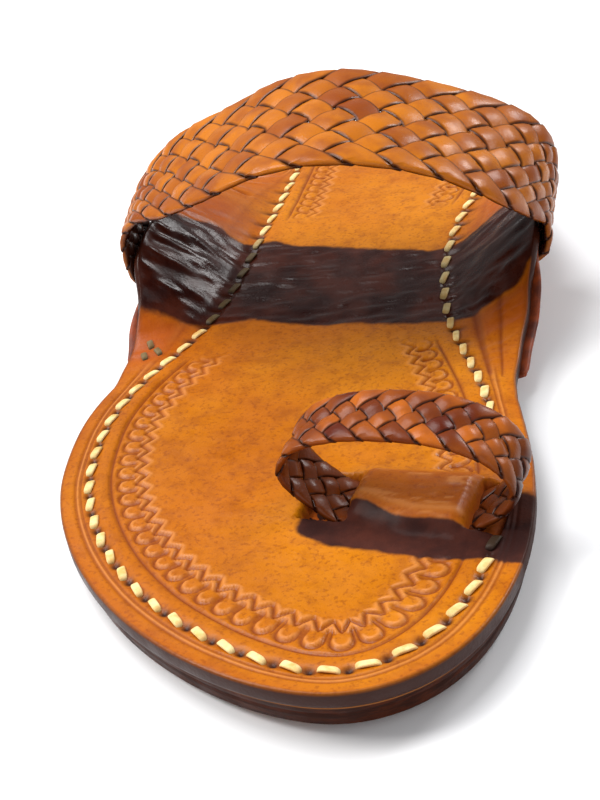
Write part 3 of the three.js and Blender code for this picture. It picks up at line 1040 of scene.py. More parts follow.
@dataclass
class Footbed:
    """The upper layer of the sole with its ears, tooled border and bridge for the toe ring."""

    # points round the loop, and rows of the margin, of the border and across the middle
    count: int = 1040
    margin_rows: int = 17
    border_rows: int = 34
    columns: int = 52
    # distances from the outline
    border_end: float = 20.5
    stitch_line: float = 6.2
    inner_groove: float = 10.7
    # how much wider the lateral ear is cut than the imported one, all along and at its heel side
    tuck: float = 2.3
    heel_tuck: float = 1.6
    stamp_pitch: float = 4.9
    forefoot_pitch: float = 6.6
    surface_values: tuple = ("dye", "pressed", "ridge_and_highlight", "flesh", "rust", "matt")
    heel_pitch: float = 7.6
    # across, and the heel-side and toe-side edges of the dye
    dye_rows: tuple = (
        (-75, 101, 127), (-55, 100, 128), (-45, 97, 128.5), (-33, 91, 127), (-17, 91, 126.5),
        (0, 94, 130), (14, 98, 132.5), (25, 101, 134), (36, 99, 134.5), (48, 96, 131),
        (60, 96, 124), (78, 96, 121),
    )
    outline: Outline = field(init=False)
    stitch_places: np.ndarray = field(init=False)

    def __post_init__(self) -> None:
        """Draws the outline once for all the rows and spaces the stitch holes along it."""
        self.outline = Outline(self.count)
        lengths = self.outline.lengths(self.stitch_line)
        along = self.outline.inset(self.stitch_line)[:, 1]
        found = [0.0]
        while found[-1] < lengths[-1] - 4.0:
            forward = smooth(60.0, 150.0, np.interp(found[-1], lengths, along))
            found.append(found[-1] + float(
                self.heel_pitch + (self.forefoot_pitch - self.heel_pitch) * forward))
        self.stitch_places = np.array(found)

    def dye(self, flat: np.ndarray) -> np.ndarray:
        """How much dye the leather has taken.

        Args:
            flat: Unrolled places.

        Returns:
            The dye at each place, 0 to 1.
        """
        table = np.array(self.dye_rows, dtype=float)
        heel = np.interp(flat[..., 0], table[:, 0], table[:, 1])
        toe = np.interp(flat[..., 0], table[:, 0], table[:, 2])
        wander = 1.3 * value_noise(flat, 9.0, 3)
        return (smooth(-3.0, 3.0, flat[..., 1] - heel + wander)
                * smooth(3.0, -3.0, flat[..., 1] - toe + wander))

    def patch(self, flat: np.ndarray) -> np.ndarray:
        """A soft dark patch on the toe side of the ring, running out to a point: partly dye, partly
        painted shade on the bridge's toe-side flank and round the ring's feet.

        Args:
            flat: Unrolled places.

        Returns:
            The dye of the patch at each place, 0 to 1.
        """
        across, forward = SEAT.local(flat)
        wander = 0.8 * value_noise(flat, 6.0, 29)
        tip = smooth(-24.0, -8.0, across)
        start = SEAT.half_width
        toe_end = (17.6, 13.6)
        patch = (smooth(start - 1.2, start + 1.2,
                        SEAT.beside(across, forward) + 0.4 * wander + 1.0 * (1 - tip))
                 * smooth(*toe_end, forward + wander + 5.0 * (1 - tip))
                 * smooth(-21.5, -16.5, across) * (forward > 0))
        # it runs on past the ring's outer end to the edge
        beyond = smooth(17.5, 20.5, across) * smooth(-7.0, -2.0, forward + wander)
        return np.maximum(patch, beyond * smooth(*toe_end, forward + wander))

    def outer_edge(self) -> tuple:
        """Unrolls the leather's cut edge and the crease beside it.

        Returns:
            Places of the edge, places of the crease, and how far the edge stands out past the
            outline.
        """
        edge = self.outline.points.copy()
        crease = self.outline.inset(LAST.crease_inset)
        spine, _ = LAST.outline(edge[:, 1])
        sign = np.where(edge[:, 0] >= spine, 1.0, -1.0)
        reach = np.where(sign > 0, LAST.ear_reach(Side.MEDIAL, edge[:, 1]),
                         LAST.ear_reach(Side.LATERAL, edge[:, 1]))
        extra = np.maximum(reach - LAST.crease_inset, 0)
        tuck = self.tuck * smooth(34.0, 50.0, edge[:, 1]) * smooth(128.0, 119.0, edge[:, 1])
        tuck = tuck + self.heel_tuck * smooth(34.0, 50.0, edge[:, 1]) * smooth(
            97.0, 88.0, edge[:, 1])
        extra = extra + tuck * (sign < 0)
        edge[:, 0] += sign * extra
        return edge, crease, extra

    def bridge(self, flat: np.ndarray) -> tuple:
        """The bridge over the ring's ends and the slots beside it.

        Args:
            flat: Unrolled places.

        Returns:
            Height of the bridge in millimetres, and how far each place is in a slot, 0 to 1.
        """
        across, forward = SEAT.local(flat)
        beside = SEAT.beside(across, forward)
        hump = smooth(SEAT.half_width + SEAT.flank, SEAT.half_width - 2.4, beside)
        inner = np.where(across < 0, *SEAT.bridge_ends)
        ends = smooth(inner + 1.8, inner - 2.6, np.abs(across))
        sag = 1 - 0.12 * np.cos(np.clip(across / inner, -1, 1) * np.pi / 2)
        side = smooth(SEAT.slot_outer + 0.5, SEAT.slot_outer - 0.5, np.abs(across))
        mouth = (smooth(inner - 0.6, inner + 0.6, np.abs(across)) * side
                 * smooth(SEAT.half_width + 0.5, SEAT.half_width - 0.6, np.abs(forward)))
        skirt = smooth(inner + 5.0, inner - 1.0, np.abs(across))
        low = smooth(SEAT.half_width + SEAT.flank, SEAT.half_width - 0.5, beside)
        rise = np.maximum(SEAT.rise * hump * ends * sag, 1.1 * low * skirt * (1 - mouth))
        return rise, mouth

    def stamps(self, lengths: np.ndarray, distance: np.ndarray) -> tuple:
        """Two rows of pressed arcs round the border.

        Args:
            lengths: Length along the border.
            distance: Distance from the outline.

        Returns:
            How deep the arcs are pressed, and how much the leather between them stands up, which is
            also painted as a highlight.
        """
        turn = lengths / self.stamp_pitch
        # distance to the middle of a mark, and to the gap between two marks
        across = np.abs(turn - np.rint(turn)) * self.stamp_pitch
        radius = np.hypot(across, distance - 14.1)
        outer = groove(radius - 2.05, 0.36) * smooth(14.7, 13.9, distance)
        legs = groove(across - 2.05, 0.34) * smooth(13.7, 14.3, distance) * smooth(
            16.5, 15.8, distance)
        half = turn + 0.5
        beside = np.abs(half - np.rint(half)) * self.stamp_pitch
        peak = groove((distance - 18.3 + 1.05 * beside) * 0.69, 0.38) * smooth(
            15.2, 15.8, distance)
        roof = groove(np.hypot(across, distance - 14.6) - 1.5, 0.3) * smooth(
            14.8, 15.4, distance)
        pressed = np.maximum.reduce([outer, legs, peak, 0.5 * roof])
        # the leather standing up between the arcs, also painted as a highlight, and a pale band
        # just past the peaks
        ridge_and_highlight = np.maximum.reduce([
            groove(radius - 1.35, 0.32) * smooth(14.6, 13.8, distance),
            groove((distance - 17.2 + 1.05 * beside) * 0.69, 0.3) * smooth(
                15.2, 15.8, distance),
            0.9 * groove((distance - 19.3 + 0.8 * beside) * 0.78, 0.45)])
        return pressed, ridge_and_highlight

    def holes(self, lengths: np.ndarray, distance: np.ndarray) -> np.ndarray:
        """Pits between one thong stitch and the next, darkened with painted shade.

        Args:
            lengths: Length along the stitch line.
            distance: Distance from the outline.

        Returns:
            Depth of the pits, 0 to 1.
        """
        places = self.stitch_places
        nearest = np.clip(np.searchsorted(places, lengths), 1, len(places) - 1)
        off = np.minimum(np.abs(lengths - places[nearest - 1]),
                         np.abs(lengths - places[nearest]))
        return groove(off, 0.95) * groove(distance - self.stitch_line, 0.85)

    def relief(self, flat: np.ndarray, distance: np.ndarray, border: np.ndarray,
               stitches: np.ndarray, on_ear: np.ndarray) -> dict:
        """All that stands up from, or is pressed into, the upper face.

        Args:
            flat: Unrolled places.
            distance: Distance from the outline, or from the ear's edge out on an ear.
            border: Length along the stamped border.
            stitches: Length along the stitch line.
            on_ear: How far out on an ear each place is, 0 to 1.

        Returns:
            Height in millimetres and the numbers that the finish reads.
        """
        dye = self.dye(flat)
        across, forward = SEAT.local(flat)
        patch = self.patch(flat)
        # the tooling stops under the band, at the patch and round the bridge
        middle = smooth(72.0, 80.0, flat[..., 1]) * smooth(146.0, 140.0, flat[..., 1])
        tooled = (1 - middle) * (1 - 0.9 * patch)
        height, mouth = self.bridge(flat)
        near_ring = smooth(0.3, 1.5, height) + mouth
        clear = np.clip(1 - near_ring, 0, 1)
        # the border widens towards the toe
        wide = 1 + 0.28 * smooth(212.0, 242.0, flat[..., 1])
        scaled = 11.7 + (distance - 11.7) / wide
        pressed, ridge_and_highlight = self.stamps(border, scaled)
        inside = (smooth(11.3, 12.0, distance) * smooth(20.2, 19.0, scaled)
                  * smooth(self.border_end - 0.1, self.border_end - 0.6, distance))
        pressed, ridge_and_highlight = pressed * inside * tooled * clear, ridge_and_highlight * inside * tooled * clear
        fine = (groove(distance - 3.3, 0.28) + groove(distance - 4.3, 0.28))
        fine = fine * (1 - on_ear)
        line = groove(distance - self.inner_groove, 0.36) * tooled * clear
        swell = groove(distance - 8.6, 1.6) * tooled * 0.25
        hole = self.holes(stitches, distance) * clear
        trough = groove(distance - self.stitch_line, 1.0) * clear
        height = height - 0.3 * fine - 0.5 * line - 0.55 * pressed + 0.2 * ridge_and_highlight
        height = height + swell - 0.2 * trough - 0.6 * hole
        # soft unevenness, and wrinkles where the dye has stiffened the leather
        soft = 0.10 * value_noise(flat, 7.0, 11) + 0.05 * value_noise(flat, 2.3, 12)
        creased = value_noise(flat * np.array([0.28, 1.0]), 1.5, 13)
        height = height + soft + dye * 0.26 * creased
        # puckers on the ears, deepest at the lateral one's tip
        lateral_tip = groove(np.hypot(flat[..., 0] + 50.0, (flat[..., 1] - 108.0) * 0.8), 15.0)
        pucker = on_ear * smooth(0.1, 0.8, on_ear)
        folds = value_noise(flat * np.array([0.35, 1.0]) + 0.25 * flat[..., ::-1], 3.2, 17)
        height = height + pucker * (0.22 + 0.85 * lateral_tip) * (0.5 - 1.6 * np.abs(folds))
        # a short slit at the heel side of the lateral ear, darkened with painted shade
        slit = groove((flat[..., 1] - 64.0 - 0.12 * (flat[..., 0] + 33.0)), 0.8) * smooth(
            6.0, 3.5, np.abs(flat[..., 0] + 33.0))
        height = height - 1.1 * slit
        # two long creases beside the edge of the medial ear, darkened with painted shade
        crease = (groove(distance - 2.3, 0.22) + groove(distance - 4.1, 0.3)) * smooth(
            0.05, 0.3, on_ear) * (flat[..., 0] > 20) * smooth(116.0, 126.0, flat[..., 1])
        height = height - 0.35 * crease
        height = height - 2.6 * mouth * (1 + 0.12 * value_noise(flat, 1.5, 19))
        tan_edge = smooth(3.0, 0.5, np.minimum(distance, 9.0)) * (1 - on_ear)
        hump = np.clip(self.bridge(flat)[0] / SEAT.rise, 0, 1)
        # streaks along the bridge, raised a little and painted as highlights, and a painted
        # highlight along the brow at its toe side
        fibres = value_noise(np.stack([across * 0.3, forward], -1), 0.9, 31)
        height = height + 0.14 * fibres * smooth(0.5, 0.9, hump)
        brow_highlight = groove(SEAT.beside(across, forward) - SEAT.half_width + 2.2, 0.9) * smooth(
            0.4, 0.8, hump) * (forward > 0)
        streak_highlight = np.clip(smooth(0.25, 0.7, fibres) * smooth(0.5, 0.9, hump) + brow_highlight, 0, 1)
        rust = np.clip(on_ear * (1 - dye) * 0.45 + 0.45 * smooth(0.25, 0.8, hump)
                       + middle * smooth(12.0, 4.0, distance) * (1 - dye) * 0.3, 0, 1)
        return {
            "height": height,
            # the dye value also carries the dark patch, which is partly painted shade
            "dye": np.clip(np.maximum(dye, patch), 0, 1),
            # pressed darkens the tooled lines, and paints shade into the slit and the ear creases
            "pressed": np.clip(0.9 * pressed + 0.9 * line + 0.7 * fine + 0.35 * trough
                               + slit + 0.8 * crease, 0, 1),
            "hole": np.clip(1.3 * hole, 0, 1),
            # painted highlight on the stamped ridges, between the fine grooves and along the bridge
            "ridge_and_highlight": np.clip(0.5 * ridge_and_highlight + 0.45 * groove(distance - 3.8, 0.2) * (1 - on_ear)
                             + 0.5 * streak_highlight, 0, 1),
            "flesh": smooth(0.15, 0.6, mouth),
            "matt": patch,
            "rust": np.clip(rust + 0.25 * tan_edge, 0, 1),
        }

    def solid(self, flat: np.ndarray, depth: np.ndarray, height: np.ndarray) -> np.ndarray:
        """Turns unrolled places into places on the bent leather.

        Args:
            flat: Unrolled places.
            depth: Share of the thickness below the upper face.
            height: Relief above the upper face.

        Returns:
            Rows of across, along, height.
        """
        across, along = flat[:, 0], np.clip(flat[:, 1], 0.0, SOLE_LENGTH)
        spine, half = LAST.outline(along)
        off = np.clip(np.abs(across - spine) / np.maximum(half - LAST.crease_inset, 1), 0, 1)
        dish = LAST.dish * smooth(6.0, 26.0, half) * (1 - off * off) ** 2 * (1 - depth)
        level = LAST.bed(along) - dish + height - depth * LAST.footbed_thickness
        out = np.stack([across, flat[:, 1], level], -1)
        crease = half - np.minimum(LAST.crease_inset, half * 0.5)
        for side in Side:
            past = side.value * (across - spine) - crease
            chosen = (past > 0) & (LAST.ear_reach(side, along) > LAST.crease_inset + 1e-6)
            thick = LAST.ear_thickness(past[chosen])
            out[chosen] = LAST.ear_point(side, along[chosen], past[chosen],
                                         depth[chosen] * thick - height[chosen])
        return out

    def build(self, finish: bpy.types.Material) -> bpy.types.Object:
        """Makes the footbed.

        Args:
            finish: What it is made of.

        Returns:
            The object.
        """
        edge, crease, extra = self.outer_edge()
        outline = self.outline
        lengths_border, lengths_stitch = outline.lengths(15.0), outline.lengths(self.stitch_line)
        # the rim, from below round the cut edge to the upper face: distance in, share of depth
        rows = [(9.0, 1.0), (5.0, 1.0), (2.0, 1.0), (0.5, 1.0), (0.12, 0.95), (0.0, 0.8),
                (0.0, 0.5), (0.0, 0.2), (0.12, 0.05), (0.5, 0.0)]
        rim_rows = len(rows)
        total = rim_rows + self.margin_rows + self.border_rows
        sheet = new_sheet("edge", *self.surface_values)
        made, column, row = loop_grid(sheet, self.count, total - 1)
        # then the margin out to the crease or ear, then the border, up to its inner end
        rim = row < rim_rows
        table = np.array(rows)
        rim_index = np.clip(row, 0, rim_rows - 1)
        drawn, depth = table[rim_index, 0], np.where(rim, table[rim_index, 1], 0.0)
        width = np.linalg.norm(crease - edge, axis=1)[column]
        step = np.clip((row - rim_rows + 1) / self.margin_rows, 0, 1)
        share = np.where(rim, np.minimum(drawn / width, 1.6),
                         0.5 / width + (1 - 0.5 / width) * step)
        flat = edge[column] + (crease - edge)[column] * np.minimum(share, 1.0)[:, None]
        beyond = np.where(rim, np.maximum(drawn - width, 0), 0)
        border = row >= rim_rows + self.margin_rows
        step = np.clip((row - rim_rows - self.margin_rows + 1) / self.border_rows, 0, 1)
        inner = np.where(border, (self.border_end - LAST.crease_inset) * step, beyond)
        flat = flat + outline.inward[column] * inner[:, None]
        distance = np.where(border, LAST.crease_inset + inner, np.minimum(share, 1) * 6.0)
        ear = smooth(0.5, 5.0, extra)[column] * np.clip(1 - np.minimum(share, 1.0), 0, 1)
        ear = np.where(border, 0.0, smooth(0.0, 0.5, ear))
        relief = self.relief(flat, distance, lengths_border[column],
                             lengths_stitch[column], ear)
        fade = np.where(rim, 0.0, 1.0)
        coords = self.solid(flat, depth, relief["height"] * fade)
        cut = np.where(rim, smooth(0.0, 0.25, depth), 0.0)
        values = {name: relief[name] for name in self.surface_values}
        # cut edges dark, and painted shade in the stitch pits
        values["edge"] = np.clip(0.66 * cut + 0.5 * smooth(0.9, 0.2, drawn) * rim
                                 + relief["hole"] * fade, 0, 1)
        verts = list(made)
        # the inside of the upper face
        rungs, index, part = Ladder(self.count, self.columns).add(sheet)
        loop = outline.inset(self.border_end)
        medial, lateral = loop[index % self.count], loop[(-index) % self.count]
        inside = medial + (lateral - medial) * part[:, None]
        gap = np.linalg.norm(lateral - medial, axis=1)
        distance_in = self.border_end + gap * np.minimum(part, 1 - part)
        relief = self.relief(inside, distance_in, np.zeros(len(inside)),
                             np.zeros(len(inside)), np.zeros(len(inside)))
        coords = np.vstack([coords, self.solid(inside, np.zeros(len(inside)),
                                               relief["height"])])
        for name in self.surface_values:
            values[name] = np.r_[values[name], relief[name]]
        values["edge"] = np.r_[values["edge"], np.zeros(len(inside))]
        verts += list(rungs)
        # the inside of the lower face
        rungs, index, part = Ladder(self.count, 6).add(sheet)
        first = row == 0
        order = np.argsort(column[first], kind="stable")
        ring = flat[first][order]
        _, keep = np.unique(column[first][order], return_index=True)
        ring = ring[keep]
        medial, lateral = ring[index % self.count], ring[(-index) % self.count]
        under = medial + (lateral - medial) * part[:, None]
        coords = np.vstack([coords, self.solid(under, np.ones(len(under)),
                                               np.zeros(len(under)))])
        for name in self.surface_values:
            values[name] = np.r_[values[name], np.zeros(len(under))]
        values["edge"] = np.r_[values["edge"], np.ones(len(under))]
        verts += list(rungs)
        write_vertices(sheet, verts, to_frame(coords), values)
        bmesh.ops.remove_doubles(sheet, verts=sheet.verts, dist=2e-6)
        bmesh.ops.dissolve_degenerate(sheet, dist=1e-7, edges=sheet.edges)
        face_outwards(sheet)
        piece = finish_mesh(sheet, "footbed_tooled", finish)
        settle(piece, "footbed_leather", "footbed")
        return piece


@dataclass
class ThongStitches:
    """Flat thong stitches that lie along the crease all round the footbed."""

    footbed: Footbed
    width: float = 1.75
    thickness: float = 0.7
    gap: float = 1.8
    slant: float = 0.22
    faces: int = 12
    seed: int = 5
    # forward of the ring's middle: the stretch under its outer end, and the dark patch, which is
    # partly dye and partly painted shade
    covered: tuple = (-11.0, 5.0)
    patched: tuple = (3.5, 16.0)
    medial_stain: float = 0.35
    lateral_stain: float = 0.9
    patch_dye_and_shade: float = 0.98
    holding_length: float = 3.2
    holding_stain: float = 0.8
    # small holding stitches beside the lateral ear: across, along, direction
    holding: tuple = ((-41.2, 136.6, 0.9), (-38.9, 138.8, 0.7), (-41.8, 140.9, 1.0))

    def stations(self) -> list:
        """Lays the stitches out between the holes.

        Returns:
            Middle, direction and length of each stitch.
        """
        outline = self.footbed.outline
        loop = outline.inset(self.footbed.stitch_line)
        closed = np.vstack([loop, loop[:1]])
        lengths = np.r_[outline.lengths(self.footbed.stitch_line), 0]
        lengths[-1] = lengths[-2] + np.linalg.norm(closed[-1] - closed[-2])
        holes = np.r_[self.footbed.stitch_places, lengths[-1]]
        ends = np.stack([np.interp(holes, lengths, closed[:, i]) for i in (0, 1)], -1)
        found = []
        for start, end in zip(ends[:-1], ends[1:]):
            span = np.linalg.norm(end - start)
            found.append(((start + end) / 2, (end - start) / span, span - self.gap))
        return found

    def build(self, finish: bpy.types.Material) -> bpy.types.Object:
        """Makes all the stitches as one piece.

        Args:
            finish: What they are made of.

        Returns:
            The object.
        """
        sheet = new_sheet("stain_and_shade")
        rng = np.random.default_rng(self.seed)
        for point, ahead, length in self.stations():
            seat_across, seat_forward = (float(part[0]) for part in SEAT.local(point[None]))
            if seat_across > 8.0 and self.covered[0] < seat_forward < self.covered[1]:
                continue
            share = self.medial_stain if point[0] > 0 else self.lateral_stain
            stain_and_shade = float(self.footbed.dye(point[None])[0]) * share
            # stitches in the dark patch take its dye and its painted shade
            if self.patched[0] < seat_forward < self.patched[1] and abs(seat_across) < 30.0:
                stain_and_shade = self.patch_dye_and_shade
            self.add(sheet, point, ahead, length, stain_and_shade, rng)
        for across, along, turn in self.holding:
            ahead = np.array([math.cos(turn), math.sin(turn)])
            self.add(sheet, np.array([across, along]), ahead, self.holding_length,
                     self.holding_stain, rng)
        face_outwards(sheet)
        piece = finish_mesh(sheet, "stitches", finish)
        settle(piece, "footbed_leather")
        return piece

    def add(self, sheet: bmesh.types.BMesh, point: np.ndarray, ahead: np.ndarray,
            length: float, stain_and_shade: float, rng: np.random.Generator) -> None:
        """Adds one stitch: a domed strip, slanted a little, its ends pulled into the holes.

        Args:
            sheet: The bmesh to add to.
            point: Middle of the stitch.
            ahead: Direction of the stitch.
            length: Its length.
            stain_and_shade: How much dye it has taken, with the dark patch's painted shade where it
                lies in it.
            rng: Source of the small differences.
        """
        made = bmesh.ops.create_grid(
            sheet, x_segments=self.faces, y_segments=self.faces, size=0.5)["verts"]
        params = np.array([(vert.co.x + 0.5, vert.co.y + 0.5) for vert in made])
        run = params[:, 0] * 2 - 1
        turn = params[:, 1] * 2 * np.pi
        length = length * rng.uniform(0.95, 1.02)
        width = self.width * rng.uniform(0.88, 1.08)
        full = np.maximum(1 - np.abs(run) ** 7, 0.0) ** 0.5 * (1 - 0.25 * run ** 4)
        wide = np.sign(np.cos(turn)) * np.abs(np.cos(turn)) ** 0.6 * width / 2 * full
        tall = np.sign(np.sin(turn)) * np.abs(np.sin(turn)) ** 0.7 * self.thickness / 2 * full
        lift = 0.26 - 1.0 * np.abs(run) ** 5
        slant = self.slant + rng.uniform(-0.04, 0.04)
        side = np.array([-ahead[1], ahead[0]])
        flat = (point + np.outer(run * length / 2, ahead)
                + np.outer(wide + run * length / 2 * slant, side))
        coords = self.footbed.solid(flat, np.zeros(len(flat)), tall + lift)
        # painted shade: the stitch ends darker where they dip into the holes
        ends = 0.35 * smooth(0.75, 1.0, np.abs(run))
        write_vertices(sheet, made, to_frame(coords),
                       {"stain_and_shade": np.clip(stain_and_shade + ends, 0, 1)})
        bmesh.ops.remove_doubles(sheet, verts=made, dist=1e-6)


@dataclass
class EarBacking:
    """The second layer of leather under an ear."""

    side: Side
    start: float
    seat_end: float
    end: float
    inner: float = 7.5
    setback: float = 1.5
    overhang: float = 1.6
    thickness: float = 1.2
    gap: float = 0.4
    stations: int = 120
    around: int = 32

    def build(self, finish: bpy.types.Material) -> bpy.types.Object:
        """Makes the backing.

        Args:
            finish: What it is made of.

        Returns:
            The object.
        """
        sheet = bmesh.new()
        made = bmesh.ops.create_grid(
            sheet, x_segments=self.stations, y_segments=self.around, size=0.5)["verts"]
        params = np.array([(vert.co.x + 0.5, vert.co.y + 0.5) for vert in made])
        along = self.start + (self.end - self.start) * params[:, 0]
        turn = params[:, 1] * 4
        # once round the section: over the top, round the outer edge, back below
        out_share = np.where(turn < 2, np.clip(turn / 1.8, 0, 1), np.clip((3.8 - turn) / 1.8, 0, 1))
        depth_share = np.clip((turn - 1.7) / 0.4, 0, 1) - np.clip((turn - 3.7) / 0.3, 0, 1)
        past = smooth(self.seat_end, self.seat_end + 12, along)
        reach = LAST.ear_reach(self.side, along)
        reach = reach - self.setback + (self.overhang + self.setback) * past
        taper = smooth(0.0, 0.03, params[:, 0]) * smooth(1.0, 0.97, params[:, 0])
        inner = np.minimum(self.inner, reach - 1.5)
        out = inner + (reach - inner) * out_share * (0.9 + 0.1 * taper)
        wobble = 0.12 * value_noise(np.column_stack([along, out]), 3.0, 23)
        depth = LAST.ear_thickness(out) + self.gap + self.thickness * (
            0.5 + (depth_share - 0.5) * (0.75 + 0.25 * taper)) + wobble
        coords = LAST.ear_point(self.side, along, out, depth)
        for vert, co in zip(made, to_frame(coords).tolist()):
            vert.co = co
        bmesh.ops.remove_doubles(sheet, verts=sheet.verts, dist=1e-6)
        bmesh.ops.holes_fill(sheet, edges=sheet.edges, sides=0)
        face_outwards(sheet)
        name = f"backing_{self.side.name.lower()}"
        piece = finish_mesh(sheet, name, finish)
        settle(piece, "backing_leather", f"ear_backing_{self.side.name.lower()}")
        return piece


# ---------------------------------------------------------------------------------------------
# Woven straps
# ---------------------------------------------------------------------------------------------


def centripetal(points: np.ndarray, samples: int) -> np.ndarray:
    """Smooth centripetal curve through points.

    Args:
        points: Rows of coordinates.
        samples: Samples for each span.

    Returns:
        Rows along the curve.
    """
    ends = np.vstack([2 * points[0] - points[1], points, 2 * points[-1] - points[-2]])
    found = []
    for i in range(1, len(ends) - 2):
        p0, p1, p2, p3 = ends[i - 1:i + 3]
        gaps = [max(np.linalg.norm(b - a) ** 0.5, 1e-4)
                for a, b in ((p0, p1), (p1, p2), (p2, p3))]
        m1 = (p1 - p0) / gaps[0] - (p2 - p0) / (gaps[0] + gaps[1]) + (p2 - p1) / gaps[1]
        m2 = (p2 - p1) / gaps[1] - (p3 - p1) / (gaps[1] + gaps[2]) + (p3 - p2) / gaps[2]
        m1, m2 = m1 * gaps[1], m2 * gaps[1]
        last = i == len(ends) - 3
        s = np.linspace(0, 1, samples + 1)[: samples + 1 if last else samples][:, None]
        s2, s3 = s * s, s ** 3
        found.append((2 * s3 - 3 * s2 + 1) * p1 + (s3 - 2 * s2 + s) * m1
                     + (3 * s2 - 2 * s3) * p2 + (s3 - s2) * m2)
    return np.vstack(found)


@dataclass
class Wall:
    """A strap's middle surface as a table of points, with its outward normals."""

    middle: np.ndarray
    normal: np.ndarray

    @property
    def width(self) -> np.ndarray:
        """Width at each station along the strap."""
        return np.linalg.norm(np.diff(self.middle, axis=1), axis=2).sum(1)

    def at(self, u: np.ndarray, v: np.ndarray, height: np.ndarray) -> np.ndarray:
        """Places on the wall.

        Args:
            u: Share along the strap.
            v: Share across it.
            height: Distance outwards from its middle.

        Returns:
            Rows of across, along, height.
        """
        rows, columns = self.middle.shape[0] - 1, self.middle.shape[1] - 1
        i = np.clip((u * rows).astype(int), 0, rows - 1)
        j = np.clip((v * columns).astype(int), 0, columns - 1)
        a, b = (u * rows - i)[..., None], (v * columns - j)[..., None]

        def blend(table: np.ndarray) -> np.ndarray:
            """Value of a table between its four nearest entries."""
            return ((table[i, j] * (1 - a) + table[i + 1, j] * a) * (1 - b)
                    + (table[i, j + 1] * (1 - a) + table[i + 1, j + 1] * a) * b)

        normal = blend(self.normal)
        normal /= np.linalg.norm(normal, axis=-1, keepdims=True)
        return blend(self.middle) + normal * height[..., None]


